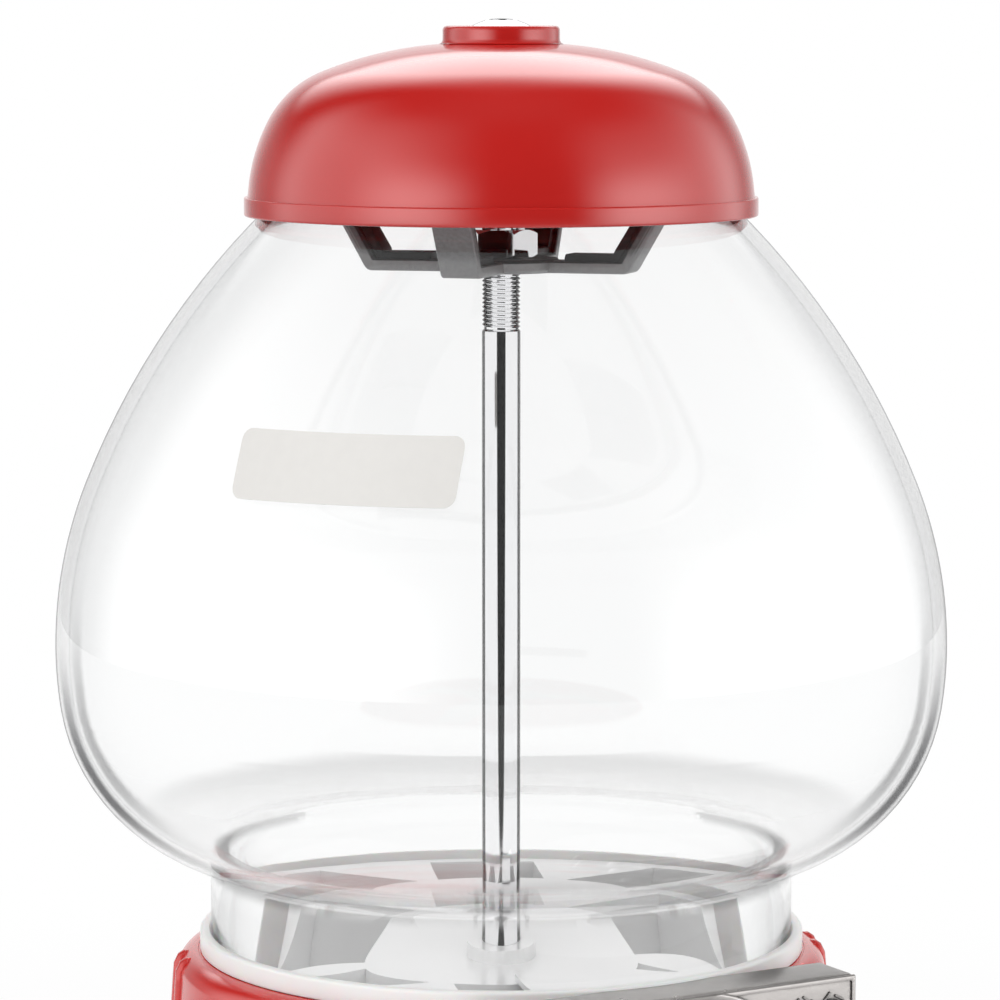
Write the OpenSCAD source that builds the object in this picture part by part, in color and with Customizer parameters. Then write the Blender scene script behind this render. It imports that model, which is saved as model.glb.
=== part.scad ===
// Gumball machine: a cast base with a coin mechanism, a glass globe clamped down by a
// centre rod, and a lid that locks onto the rod's top. Millimetres.
// Origin: on the floor, on the centre rod's axis. +Z is up and the front faces -Y.
// A heading is an angle round the axis, seen from above: 0 is the front, 90 is +X.

/* [Globe] */
// Radius of the globe at its widest
globe_r = 110; // [100:0.5:116]
// Thickness of the glass
glass_t = 3.2; // [2.4:0.1:4]
// Radius of the curve just above the widest part
belly_curve = 108.8; // [90:0.1:125]
// Angle where that curve ends
belly_angle = 21.8; // [18:0.1:25]
// Radius of the long curve that runs in under the lid
upper_curve = 195.6; // [180:0.1:210]
// Angle of the glass at its mouth
mouth_angle = 47.6; // [46:0.1:49]
// Radius of the curve just below the widest part
under_curve = 98; // [80:0.1:110]
// Angle where that curve ends
under_angle = 8.8; // [6:0.1:12]
// Radius of the curve that turns in to the neck
heel_curve = 46.6; // [42:0.1:50]
// Angle where that curve ends
heel_angle = 76.2; // [72:0.1:79]
// Radius of the corner between the heel and the neck
neck_fillet = 2.06; // [1.5:0.01:3]
// Height of the straight neck
neck_h = 20.97; // [18:0.01:26]

/* [Lid] */
// Thickness of the lid's sheet
lid_t = 1.6; // [1.2:0.1:2.4]
// Gap between the lid's rim and the glass
lid_gap = 0.45; // [0.4:0.05:0.8]
// Height of the rim band
band_h = 4.6; // [3:0.1:7]
// How far the rim band stands out
band_out = 0.95; // [0.4:0.05:1.6]
// Radius of the lid's lower side
lid_side_curve = 44.7; // [40:0.1:50]
// Radius of the lid's shoulder
lid_shoulder_curve = 25.65; // [22:0.05:30]
// Radius of the lid's crown
lid_crown_curve = 96.7; // [88:0.1:105]
// Radius of the boss on the lid's top
boss_r = 14.33; // [13:0.01:16]
// Height of the boss above the crown
boss_h = 4.4; // [3:0.1:7]

/* [Lock] */
// Radius of the lock barrel
barrel_r = 8.3; // [7.5:0.1:9]
// Wall of the lock sleeve
sleeve_t = 1.7; // [1.2:0.1:2]
// How far the barrel's domed face stands above the boss
dome_h = 1.9; // [1:0.1:3]
// Length of the lock sleeve
sleeve_h = 26; // [20:0.5:30]
// Across flats of the nut that holds the lock
lock_nut_af = 25; // [24.5:0.1:26]

/* [Rod and clamp] */
// Radius of the centre rod
rod_r = 4.7625; // [4.7:0.0025:5]
// Across flats of the hex nuts on the rod
nut_af = 15.6; // [14:0.1:17]
// Height of the hex nuts on the rod
nut_h = 7; // [5:0.1:8]
// Radius of the clamp spider's hub
hub_r = 14.5; // [13:0.1:16]
// Thickness of the spider's hub and arms
spider_t = 3.3; // [2.6:0.1:4]
// Width of the spider's arms
arm_w = 9.5; // [8:0.1:11]
// Distance from the axis to where an arm turns up
arm_reach = 32; // [28:0.1:36]
// Depth of the hub below the globe's mouth
spider_drop = 20.8; // [18:0.1:24]
// Heading of the first arm
spider_heading = 43; // [0:1:89]

/* [Base] */
// Height of the base's top lip
base_h = 151.1; // [146:0.1:166]
// Width of the rounded shoulder outside the lip
shoulder_w = 5.1; // [4:0.1:7]
// Wall of the base casting
base_t = 3; // [2.5:0.1:4]
// Slope of the base's side in degrees
side_slope = 3.75; // [2:0.05:4.5]
// How far the foot stands out past the side
foot_out = 10; // [6:0.1:11]
// Height of the foot
foot_h = 20; // [16:0.5:22]
// Gap between the foot and the floor
floor_gap = 2; // [1.5:0.1:4]
// How far the corner ridges stand out
ridge_out = 1.2; // [0.6:0.1:2]
// Width of a corner ridge
ridge_w = 4.8; // [3:0.1:6]
// Height of the white collar above the lip
collar_rise = 5.3; // [4:0.1:7]

/* [Dispensing wheel] */
// Height of the wheel
wheel_h = 24; // [20:0.5:26]
// Number of pockets in the wheel
pockets = 6; // [4:1:7]
// Width of a pocket, as a share of the wheel's radius
pocket_width_share = 0.424; // [0.36:0.002:0.44]
// Radial length of a pocket, as a share of the wheel's radius
pocket_length_share = 0.424; // [0.38:0.002:0.43]
// Heading of the first pocket at rest
pocket_heading = -25; // [-30:1:30]
// Teeth on the drive pinion
pinion_teeth = 12; // [11:1:13]

/* [Front casting] */
// Width of the front casting
casting_w = 93.6; // [86:0.1:96]
// How far its front stands out past the base's side
casting_out = 6.9; // [6:0.1:8]
// Wall of the front casting
casting_t = 2.5; // [2:0.1:3]
// Height of the casting's top above the lip
casting_rise = 4.5; // [3:0.1:5]
// Width of the raised border round its front
border_w = 1.4; // [1:0.1:3]
// How far that border stands out
border_out = 0.8; // [0.4:0.1:1.2]

/* [Coin mechanism] */
// Radius of the coin face plate
face_r = 33.5; // [33:0.1:35]
// Thickness of the coin face plate
face_t = 3; // [2:0.1:4]
// Radius of the coin carrier
carrier_r = 24; // [22:0.1:24.5]
// Radius of the handle's shaft
shaft_r = 3; // [2.5:0.1:3.5]
// Radius of a coin
coin_r = 12.13; // [10:0.01:12.5]
// Half the span of the handle
handle_reach = 25.5; // [22:0.1:26]
// Depth of the handle from hub to tip
handle_d = 18.2; // [14:0.1:18.5]

/* [Chute] */
// Inner width of the chute
chute_w = 28.8; // [26:0.1:30]
// Wall of the chute
chute_t = 1.2; // [1:0.1:1.6]
// Clearance between the door opening and the mechanism above it
door_clear = 16; // [12:0.5:20]
// Width of the door opening
door_w = 35; // [33:0.5:38]

/* [Label] */
// Width of the blank label along the glass
label_w = 56; // [40:1:70]
// Height of the blank label
label_h = 15.5; // [12:0.5:20]

/* [Hidden] */
$fn = 96;

// Clearances
gap = 0.3;        // between pieces that stay apart
fit = 0.05;       // a running fit, on the radius
hole_gap = 0.2;   // a screw in its hole, on the radius
cut = 1;          // how far a cutter runs past a face

// --- Curves -------------------------------------------------------------------------

steps = 10;       // points along each arc of a profile

function dir(a) = [cos(a), sin(a)];
function reversed(v) = [for (i = [len(v) - 1 : -1 : 0]) v[i]];

// A chain of arcs that run smoothly into each other. Each arc is [radius, end angle], and
// an angle is that of the outward normal above the horizontal. A negative radius is hollow.
function arc(p, r, a, b) = [for (i = [1 : steps]) p + r * (dir(a + (b - a) * i / steps) - dir(a))];
function chain(p, a, arcs, i = 0) = i == len(arcs) ? []
  : let (pts = arc(p, arcs[i][0], a, arcs[i][1]))
    concat(pts, chain(pts[steps - 1], arcs[i][1], arcs, i + 1));
function inset(arcs, t) = [for (v = arcs) [v[0] - t, v[1]]];
function last(v) = v[len(v) - 1];

// --- Globe --------------------------------------------------------------------------

upper_arcs = [[belly_curve, belly_angle], [upper_curve, mouth_angle]];
lower_arcs = [[under_curve, -under_angle], [heel_curve, -heel_angle], [-neck_fillet, 0]];
neck_drop = -last(chain([0, 0], 0, lower_arcs))[1];
neck_r = globe_r + last(chain([0, 0], 0, lower_arcs))[0];
glass_in = neck_r - glass_t;

collar_seat_t = 2.1;                       // the collar's floor, under the glass
shelf_drop = 1.9;
shelf_z = base_h - shelf_drop;             // the shelf inside the base, under the collar
glass_z = shelf_z + collar_seat_t;
globe_z = glass_z + neck_h + neck_drop;    // height of the widest part
upper_line = chain([globe_r, globe_z], 0, upper_arcs);
lower_line = chain([globe_r, globe_z], 0, lower_arcs);
upper_inside = chain([globe_r - glass_t, globe_z], 0, inset(upper_arcs, glass_t));
lower_inside = chain([globe_r - glass_t, globe_z], 0, inset(lower_arcs, glass_t));
mouth_r = last(upper_line)[0];
mouth_z = last(upper_line)[1];
mouth_in = last(upper_inside)[0];

// --- Lid ----------------------------------------------------------------------------

rim_drop = 6.6;                              // the lid's rim below the globe's mouth
lid_z = mouth_z - rim_drop;
// radius of the glass where the rim sits, on the upper curve
rim_angle = asin(sin(mouth_angle) - rim_drop / upper_curve);
glass_at_rim = mouth_r + upper_curve * (cos(rim_angle) - cos(mouth_angle));
rim_in = glass_at_rim + lid_gap;
band_t = 2.2;                              // the sheet and its turned-in edge
lid_side_r = rim_in + band_t;              // outside, at the top of the band
side_a = [2.77, 27.7, 68.2];               // angles where the lid's curves start
boss_foot = 0.28;                          // the crown ends this far outside the boss
shoulder_arcs = [[lid_side_curve, side_a[1]], [lid_shoulder_curve, side_a[2]]];
shoulder_r = lid_side_r + last(chain([0, 0], side_a[0], shoulder_arcs))[0];
crown_end = acos(cos(side_a[2]) + (boss_r + boss_foot - shoulder_r) / lid_crown_curve);
lid_arcs = concat(shoulder_arcs, [[lid_crown_curve, crown_end]]);
lid_line = chain([lid_side_r, lid_z + band_h], side_a[0], lid_arcs);
lid_inside = chain([lid_side_r, lid_z + band_h] - lid_t * dir(side_a[0]), side_a[0],
  inset(lid_arcs, lid_t));
crown_z = last(lid_line)[1];
boss_z = crown_z + boss_h;
flange_z = last(lid_inside)[1] - 1.6;      // underside of the lid round the lock

// --- Rod and clamp ------------------------------------------------------------------

spider_z = mouth_z - spider_drop;          // underside of the spider's hub
foot_t = 3;                                // pads that press on the globe's mouth
rod_top = boss_z - 6;
rod_bottom = floor_gap + 2;
nut_chamfer = 1;

// --- Base ---------------------------------------------------------------------------

collar_leg = neck_r + 1.7;                 // outside of the collar's leg
collar_in = glass_in - 0.9;
collar_out = collar_leg + 1.1;             // outside of the collar, over the lip
lip_r = collar_leg + gap;
lip_out = collar_leg + 1.6;                // outside of the lip, where the shoulder starts
side_r = lip_out + shoulder_w;             // the side, just under the shoulder
shoulder_h = 5;
side_z = base_h - shoulder_h;
foot_side = side_r + (side_z - foot_h) * tan(side_slope);
foot_r = foot_side + foot_out;
shelf_r = neck_r - gap;
shelf_t = 3.2;
plate_z = 14;                              // underside of the bottom plate
plate_t = 1.5;
plate_ledge = 5;
plate_seat = foot_side - base_t + 1.8;     // radius of the recess that the plate sits in
pad_r = 6.5;
pad_h = 3;
pad_headings = [45, 135, 225, 315];
lug_r = pad_r + 1.5;
lug_at = foot_r - base_t - lug_r - 0.5;
peg_r = 2.5;
peg_h = 5;
ridge_pairs = [67.5, 112.5, 157.5, 202.5, 247.5, 292.5];
ridge_spread = 3.25;

// --- Wheel and gears ----------------------------------------------------------------

wheel_clear = 3.1;                         // round the wheel, inside the glass
wheel_r = glass_in - wheel_clear;
wheel_top = shelf_z + 4.7;
wheel_z = wheel_top - wheel_h;
pan_t = 2;
pan_top = wheel_z - 0.7;
pan_z = pan_top - pan_t;
pan_r = shelf_r - 0.4;
bush_r = 7;
bush_flange_r = 8.5;
bush_flange_t = 1.5;
wheel_wall = 2;
crown_in = wheel_r + 0.5;
crown_out = shelf_r - 0.8;
crown_r = (crown_in + crown_out) / 2;
turns = pockets;                           // of the handle, for one turn of the wheel
crown_teeth = pinion_teeth * turns;
addendum = 1.6;
dedendum = 2.1;
pinion_r = crown_r / turns;
crown_pitch_z = wheel_z + addendum;
shaft_z = crown_pitch_z - pinion_r;
tooth_w = PI * 2 * pinion_r / pinion_teeth * 0.41;   // at the pitch line, with backlash
flank = 20;
pinion_l = crown_out - crown_in;
pocket_rim = 4.5;                          // left outside a pocket
pocket_w = wheel_r * pocket_width_share;
pocket_l = wheel_r * pocket_length_share;
pocket_mid = wheel_r - pocket_rim - pocket_l / 2;
pocket_in = pocket_mid - pocket_l / 2;
outlet_l = pocket_l - 1.5;
outlet_mid = pocket_mid - 1.2;

// --- Front casting and mechanism, from the front backwards --------------------------

casting_y = -(side_r + casting_out);       // the casting's front
casting_in = casting_y + casting_t;
casting_z = foot_h + 4;
casting_top = base_h + casting_rise;
face_y = casting_y - face_t;
carrier_y = casting_y + gap;
carrier_t = 7.4;
carrier_back = carrier_y + carrier_t;
ratchet_t = 3.2;
ratchet_y = carrier_back;
pinion_y = -crown_out;
pinion_back = pinion_y + pinion_l;
spacer_y = ratchet_y + ratchet_t;
back_t = 1.6;
back_gap = 2.2;
back_y = pinion_back + back_gap;           // front of the mechanism's back plate
shaft_end = back_y + back_t + 1.2;
clip_t = 0.7;
handle_y = face_y - gap - handle_d;
hub_len = 6;
recess_r = coin_r + 0.3;
recess_at = 17;
post_r = 2.5;
post_at = 28;
post_angles = [-32, 180, 270];
post_spots = [for (a = post_angles) post_at * dir(a) + [0, shaft_z]];
back_top = pan_z - 1;
back_bottom = shaft_z - post_at - 4;
back_half = 32;

ratchet_r = 15.5;
ratchet_root = 13;
ratchet_teeth = 12;
pawl_angle = 40;
pawl_touch = 15;
pawl_reach = 18;
pawl_lift = 2;
pawl_bite = 5;
pawl_ride = 8;                             // turn that lifts the pawl onto the tooth tips
pawl_pin_r = 1.5;
pawl_t = 2.6;
pawl_y = ratchet_y + 0.3;
pawl_at = [0, shaft_z] + pawl_touch * dir(pawl_angle) + pawl_reach * dir(pawl_angle - 90)
  + pawl_lift * dir(pawl_angle);

// --- Chute and door -----------------------------------------------------------------

chute_front = -(outlet_mid + outlet_l / 2) - chute_t;
chute_back = -(outlet_mid - outlet_l / 2) + chute_t;
door_z = casting_z + 7;                    // bottom of the door opening
door_top = back_bottom - door_clear;
door_h = door_top - door_z;
pin_r = 1.2;
knuckle_r = 2.4;
pin_y = casting_y + 1.3;
pin_z = door_top + 0.2;
door_t = 1.6;
ear_w = 3.5;
mouth_low = door_z + 1;
mouth_high = pin_z - knuckle_r - 0.4;      // under the door's knuckles
slide_rise = door_h + 1;                   // fall of the chute's floor
roof_rise = 8.5;                           // of the chute's roof, from the mouth back
screw_r = 1.4;
flange_w = 9;

// --- Small shapes -------------------------------------------------------------------

module tube(r, bore, h) difference() {
  cylinder(r = r, h = h);
  translate([0, 0, -cut]) cylinder(r = bore, h = h + 2 * cut);
}

// A hex nut standing on z, with both ends chamfered.
module hex_nut(af, h, bore) difference() {
  intersection() {
    cylinder(r = af / 2 / cos(30), h = h, $fn = 6);
    rotate_extrude() polygon([[0, 0], [af / 2, 0], [af / 2 / cos(30), nut_chamfer],
      [af / 2 / cos(30), h - nut_chamfer], [af / 2, h], [0, h]]);
  }
  translate([0, 0, -cut]) cylinder(r = bore, h = h + 2 * cut);
}

// A round bar and an extruded outline along Y, from a front y to a back y. An outline's
// own x and y become x and z.
module bar_y(r, front, back, x = 0, z = 0)
  translate([x, back, z]) rotate([90, 0, 0]) cylinder(r = r, h = back - front);
module slab_y(front, back, x = 0, z = 0)
  translate([x, back, z]) rotate([90, 0, 0]) linear_extrude(back - front) children();

// A block from one corner to the other.
module block(low, high) translate(low) cube(high - low);

// Places children at a heading: drawn for the front, which is -Y.
module heading(a) rotate(a) children();

// A slice of a turned ring, centred on a heading.
module ring_slice(r_in, r_out, z_low, z_high, middle, half)
  rotate(middle - 90 - half) rotate_extrude(angle = 2 * half)
    translate([r_in, z_low]) square([r_out - r_in, z_high - z_low]);

// A round-headed screw along Y whose head rests against y, with its shank going back.
module screw_y(x, y, z, head_r, head_h, r, len) difference() {
  union() {
    bar_y(head_r, y - head_h, y, x, z);
    bar_y(r, y - cut / 2, y + len, x, z);
  }
  slot_w = head_r / 3;
  block([x - head_r, y - head_h - cut, z - slot_w / 2], [x + head_r, y - head_h / 2, z + slot_w / 2]);
}

// --- Base ---------------------------------------------------------------------------

// The outside line of the base, from the axis under the foot to the lip. Grown by g.
function base_outline(g) = concat(
  [[0, floor_gap - g], [foot_r - 2, floor_gap - g], [foot_r + g, floor_gap + 2],
   [foot_r + g, floor_gap + 6.5], [foot_r - 1 + g, floor_gap + 8.5]],
  [for (i = [1 : steps]) let (t = 90 * i / steps)
    [foot_side + g + (foot_out - 2) * (1 - sin(t)), foot_h + 3 - (foot_h - 7) * cos(t)]],
  [for (i = [0 : steps]) let (t = side_slope + (90 - side_slope) * i / steps)
    [lip_out + (shoulder_w + g) * cos(t), side_z + (shoulder_h + g) * sin(t)]],
  [[0, base_h + g]]);

module base_solid(g = 0) rotate_extrude() polygon(base_outline(g));

// A ridge follows the side, from inside the foot to just under the shoulder.
module ridge(a) {
  half = ridge_w / 2 / side_r * 180 / PI;
  rotate(a - 90 - half) rotate_extrude(angle = 2 * half) polygon([[foot_side - 1, foot_h - 2],
    [foot_side + ridge_out, foot_h - 2], [foot_side + ridge_out, foot_h + 3],
    [side_r + ridge_out, side_z - 2.5], [side_r + ridge_out * 0.7, side_z - 1.2],
    [side_r + ridge_out * 0.3, side_z - 0.4], [side_r - 1, side_z - 0.2]]);
}

module base_hollow() {
  wall_top = shelf_z - shelf_t;
  inside = side_r - base_t;
  rotate_extrude() polygon([[0, floor_gap - cut], [foot_r - base_t - 1, floor_gap - cut],
    [foot_r - base_t - 1, floor_gap + 4], [plate_seat + 1, floor_gap + 8],
    [plate_seat, plate_z + plate_t], [plate_seat - plate_ledge, plate_z + plate_t],
    [plate_seat - plate_ledge, plate_z + plate_t + 3], [foot_side - base_t, foot_h + 3],
    [inside + (side_z - ledge_z) * tan(side_slope), ledge_z], [ledge_r, ledge_z],
    [ledge_r, pan_z], [inside, pan_z], [inside, wall_top - 4], [shelf_r, wall_top],
    [shelf_r, shelf_z], [lip_r, shelf_z], [lip_r, base_h + cut], [0, base_h + cut]]);
}

ledge_r = pan_r - 5;                       // the ledge that the hopper pan lies on
ledge_z = pan_z - 3;
boss_x = casting_w / 2 - 7.5;
boss_z_low = casting_z + 9;
boss_z_high = casting_top - 9;
base_boss_r = 4.5;
boss_back = -side_r + 16;
mount_r = 2;                               // shank of a casting screw
window_half = boss_x + 0.5;
window_top = shelf_z - shelf_t;

module base_body() color([0.72, 0.09, 0.08]) difference() {
  union() {
    difference() {
      union() {
        base_solid();
        for (a = ridge_pairs, s = [-1, 1]) ridge(a + s * ridge_spread);
      }
      base_hollow();
      block([-window_half, -foot_r, casting_z + 3], [window_half, -side_r / 2, window_top]);
    }
    for (a = pad_headings) heading(a) translate([0, -lug_at, pad_h])
      cylinder(r = lug_r, h = plate_z - pad_h - 1.5);
    for (s = [-1, 1], z = [boss_z_low, boss_z_high]) intersection() {
      bar_y(base_boss_r, casting_in + gap, boss_back, s * boss_x, z);
      difference() {
        cylinder(r = foot_r, h = base_h);
        cylinder(r = shelf_r, h = base_h);
      }
    }
  }
  for (a = pad_headings) heading(a) translate([0, -lug_at, pad_h - cut])
    cylinder(r = peg_r + hole_gap / 2, h = peg_h + cut + gap);
  for (s = [-1, 1], z = [boss_z_low, boss_z_high])
    bar_y(mount_r + hole_gap / 2, casting_y, boss_back + 2, s * boss_x, z);
  for (a = pan_screw_headings) heading(a) translate([0, -pan_screw_at, pan_z - pan_screw_l - gap])
    cylinder(r = screw_r + hole_gap / 2, h = pan_screw_l + gap + cut);
  ring_slice(shelf_r - cut, lip_r - gap / 2, shelf_z - guard_t, shelf_z + cut, 0, guard_tab + 1);
}

module rubber_feet() color([0.12, 0.12, 0.12])
  for (a = pad_headings) heading(a) translate([0, -lug_at, 0]) {
    cylinder(r1 = pad_r - 0.5, r2 = pad_r, h = pad_h);
    translate([0, 0, pad_h - cut / 2]) cylinder(r = peg_r, h = peg_h + cut / 2);
  }

module bottom_plate() color([0.62, 0.63, 0.65]) difference() {
  translate([0, 0, plate_z]) cylinder(r = plate_seat - gap, h = plate_t);
  for (a = pad_headings) heading(a) translate([0, -lug_at, plate_z - cut])
    cylinder(r = lug_r + 1, h = plate_t + 2 * cut);
  translate([0, 0, plate_z - cut]) cylinder(r = rod_r + hole_gap, h = plate_t + 2 * cut);
}

washer_t = 1.4;
washer_r = 14;
module base_washer() color([0.75, 0.76, 0.78])
  translate([0, 0, plate_z - washer_t]) tube(washer_r, rod_r + hole_gap, washer_t);

module base_nut() color([0.75, 0.76, 0.78])
  translate([0, 0, plate_z - washer_t - nut_h]) hex_nut(nut_af, nut_h, rod_r + fit);

// --- Hopper -------------------------------------------------------------------------

pan_screw_headings = [60, 150, 210, 300];
pan_screw_at = pan_r - 1.6 - screw_r;
pan_screw_l = 2;                           // in the ledge
module hopper_pan() color([0.70, 0.71, 0.73]) difference() {
  translate([0, 0, pan_z]) cylinder(r = pan_r, h = pan_t);
  translate([0, 0, pan_z - cut]) cylinder(r = rod_r + hole_gap, h = pan_t + 2 * cut);
  block([-chute_w / 2, -(outlet_mid + outlet_l / 2), pan_z - cut],
    [chute_w / 2, -(outlet_mid - outlet_l / 2), pan_top + cut]);
  block([-pinion_r - 3, -pan_r - cut, pan_z - cut], [pinion_r + 3, pinion_back + 1.2, pan_top + cut]);
  for (a = pan_screw_headings) heading(a) translate([0, -pan_screw_at, pan_z - cut])
    cylinder(r = screw_r + hole_gap, h = pan_t + 2 * cut);
}

module pan_screws() color([0.75, 0.76, 0.78])
  for (a = pan_screw_headings) heading(a) translate([0, -pan_screw_at, 0]) {
    translate([0, 0, pan_z - pan_screw_l]) cylinder(r = screw_r, h = pan_t + pan_screw_l + 0.4);
  }

module pan_nut() color([0.75, 0.76, 0.78])
  translate([0, 0, pan_z - nut_h]) hex_nut(nut_af, nut_h, rod_r + fit);

module thrust_washer() color([0.85, 0.83, 0.76])
  translate([0, 0, pan_top]) tube(12, rod_r + hole_gap, wheel_z - pan_top - 0.1);

module globe_collar() color([0.93, 0.93, 0.90]) rotate_extrude() polygon([
  [collar_in, shelf_z], [collar_leg, shelf_z], [collar_leg, base_h + gap / 2],
  [collar_out, base_h + gap / 2], [collar_out, base_h + collar_rise - 1.4],
  [collar_out - 0.4, base_h + collar_rise - 0.4], [collar_out - 1.2, base_h + collar_rise],
  [neck_r + gap, base_h + collar_rise], [neck_r + gap, glass_z], [collar_in, glass_z]]);

guard_t = 1.1;
guard_half = 24;
guard_tab = 8;
guard_tab_r = glass_in - 1.3;              // outside of the tab, clear of the collar
guard_z = wheel_top + 0.5;
module outlet_guard() color([0.78, 0.79, 0.81]) {
  ring_slice(pocket_in - 2, guard_tab_r, guard_z, guard_z + guard_t, 0, guard_half);
  ring_slice(guard_tab_r - guard_t, guard_tab_r, shelf_z - guard_t, guard_z + guard_t, 0, guard_tab);
  ring_slice(guard_tab_r - guard_t, lip_r - gap, shelf_z - guard_t, shelf_z, 0, guard_tab);
}

// --- Dispensing wheel ---------------------------------------------------------------

// One pocket's outline, grown outwards and sideways by g, drawn for the front.
module pocket_outline(g) intersection() {
  difference() {
    circle(r = pocket_mid + pocket_l / 2 + g);
    circle(r = pocket_in);
  }
  translate([-pocket_w / 2 - g, -wheel_r]) square([pocket_w + 2 * g, wheel_r]);
}

// A tooth under the rim, with the rim standing out past its end.
rim_edge = 0.5;
module crown_tooth(a) heading(a) slab_y(rim_edge - crown_out, -crown_in, 0, crown_pitch_z) polygon([
  [-tooth_w / 2 + addendum * tan(flank), -addendum], [tooth_w / 2 - addendum * tan(flank), -addendum],
  [tooth_w / 2 + dedendum * tan(flank), dedendum + 0.2],
  [-tooth_w / 2 - dedendum * tan(flank), dedendum + 0.2]]);

module dispensing_wheel() color([0.78, 0.78, 0.80]) {
  rim_z = crown_pitch_z + dedendum;
  difference() {
    union() {
      difference() {
        union() {
          translate([0, 0, wheel_z]) cylinder(r = wheel_r, h = wheel_h);
          translate([0, 0, rim_z]) cylinder(r = crown_out, h = 2.4);
        }
        translate([0, 0, wheel_z - cut]) difference() {
          cylinder(r = wheel_r - wheel_wall, h = wheel_h - wheel_wall + cut);
          cylinder(r = bush_r + 5, h = wheel_h);
        }
      }
      translate([0, 0, wheel_z]) intersection() {
        cylinder(r = wheel_r, h = wheel_h);
        for (i = [0 : pockets - 1]) heading(pocket_heading + 360 / pockets * i)
          linear_extrude(wheel_h) pocket_outline(wheel_wall);
      }
      translate([0, 0, wheel_z]) tube(pocket_in + 1, pocket_in - wheel_wall, wheel_h - wheel_wall / 2);
    }
    for (i = [0 : pockets - 1]) heading(pocket_heading + 360 / pockets * i)
      translate([0, 0, wheel_z - cut]) linear_extrude(wheel_h + 2 * cut) pocket_outline(0);
    translate([0, 0, wheel_z - cut]) cylinder(r = bush_r + 0.02, h = wheel_h + 2 * cut);
  }
  for (i = [0 : crown_teeth - 1]) crown_tooth(360 / crown_teeth * (i + 0.5));
}

module wheel_bush() color([0.80, 0.81, 0.83]) difference() {
  union() {
    translate([0, 0, wheel_z]) cylinder(r = bush_r, h = wheel_h);
    translate([0, 0, wheel_top]) cylinder(r = bush_flange_r, h = bush_flange_t);
  }
  translate([0, 0, wheel_z - cut]) cylinder(r = rod_r + fit, h = wheel_h + bush_flange_t + 2 * cut);
}

// --- Globe, clamp and rod -----------------------------------------------------------

module globe() color([0.80, 0.88, 0.90, 0.35]) rotate_extrude() polygon(concat(
  reversed(upper_line), [[globe_r, globe_z]], lower_line, [[neck_r, glass_z], [glass_in, glass_z]],
  reversed(lower_inside), [[globe_r - glass_t, globe_z]], upper_inside));

label_t = 0.2;
label_heading = -52;
label_low = globe_z + 45;
// radius of the glass at a height on its upper curve
belly_end = last(chain([globe_r, globe_z], 0, [upper_arcs[0]]));
function glass_radius(z) = let (a = asin(sin(belly_angle) + (z - belly_end[1]) / upper_curve))
  belly_end[0] + upper_curve * (cos(a) - cos(belly_angle));
module label() color([0.90, 0.88, 0.87]) {
  half = label_w / 2 / glass_radius(label_low) * 180 / PI;
  line = [for (i = [0 : 4]) let (z = label_low + label_h * i / 4) [glass_radius(z) + 0.05, z]];
  rotate(label_heading - 90 - half) rotate_extrude(angle = 2 * half)
    polygon(concat(line, [for (p = reversed(line)) p + [label_t, 0]]));
}

// One arm: a bar with a rib on it, a strut that slopes up and out, and a pad on the glass.
module spider_arm() {
  rib_w = 2.4;
  rib_h = 1.4;
  pad_z = mouth_z + gap;
  strut_w = 4.6;
  pad_out = mouth_r + 2;
  slope_top = mouth_in - 4.8 - strut_w;
  slab = [[hub_r - 3, spider_z], [arm_reach + 1.4, spider_z], [slope_top + strut_w, pad_z],
    [pad_out, pad_z], [pad_out, pad_z + foot_t], [slope_top, pad_z + foot_t],
    [arm_reach - 3, spider_z + spider_t], [hub_r - 3, spider_z + spider_t]];
  rib = [[hub_r + 3, spider_z + spider_t - 0.1], [arm_reach - 3, spider_z + spider_t - 0.1],
    [arm_reach - 2.4, spider_z + spider_t + rib_h], [hub_r + 3.4, spider_z + spider_t + rib_h]];
  rotate([90, 0, 0]) {
    translate([0, 0, -arm_w / 2]) linear_extrude(arm_w) polygon(slab);
    for (s = [-1, 1]) translate([0, 0, s * (arm_w - rib_w) / 2 - rib_w / 2])
      linear_extrude(rib_w) polygon(rib);
  }
}

module clamp_spider() color([0.55, 0.55, 0.56]) difference() {
  union() {
    translate([0, 0, spider_z]) cylinder(r = hub_r, h = spider_t);
    for (i = [0 : 3]) rotate(spider_heading - 90 + 90 * i) spider_arm();
  }
  translate([0, 0, spider_z - cut]) cylinder(r = rod_r + hole_gap, h = spider_t + 2 * cut);
}

module clamp_nut() color([0.80, 0.81, 0.83])
  translate([0, 0, spider_z + spider_t]) rotate(21) hex_nut(nut_af, nut_h, rod_r + fit);

module centre_rod() color([0.82, 0.83, 0.85]) translate([0, 0, rod_bottom]) {
  chamfer = 0.8;
  rotate_extrude() polygon([[0, 0], [rod_r - chamfer, 0], [rod_r, chamfer],
    [rod_r, rod_top - rod_bottom - chamfer], [rod_r - chamfer, rod_top - rod_bottom],
    [0, rod_top - rod_bottom]]);
}

// --- Lid and lock -------------------------------------------------------------------

sleeve_r = barrel_r + fit + sleeve_t;
module lid() color([0.76, 0.10, 0.09]) rotate_extrude() difference() {
  polygon(concat(
    [[rim_in, lid_z], [lid_side_r + band_out, lid_z], [lid_side_r + band_out, lid_z + band_h],
     [lid_side_r, lid_z + band_h]], lid_line,
    [[boss_r, crown_z + 0.4], [boss_r, boss_z - 1], [boss_r - 0.3, boss_z - 0.3], [boss_r - 1, boss_z],
     [sleeve_r + fit, boss_z], [sleeve_r + fit, flange_z], [boss_r + 1, flange_z]],
    reversed(lid_inside), [[rim_in, lid_z + band_h - 0.5]]));
}

lock_nut_h = 5;
module lock_sleeve() color([0.80, 0.80, 0.82]) translate([0, 0, boss_z - sleeve_h])
  tube(sleeve_r, barrel_r + fit, sleeve_h);

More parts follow.
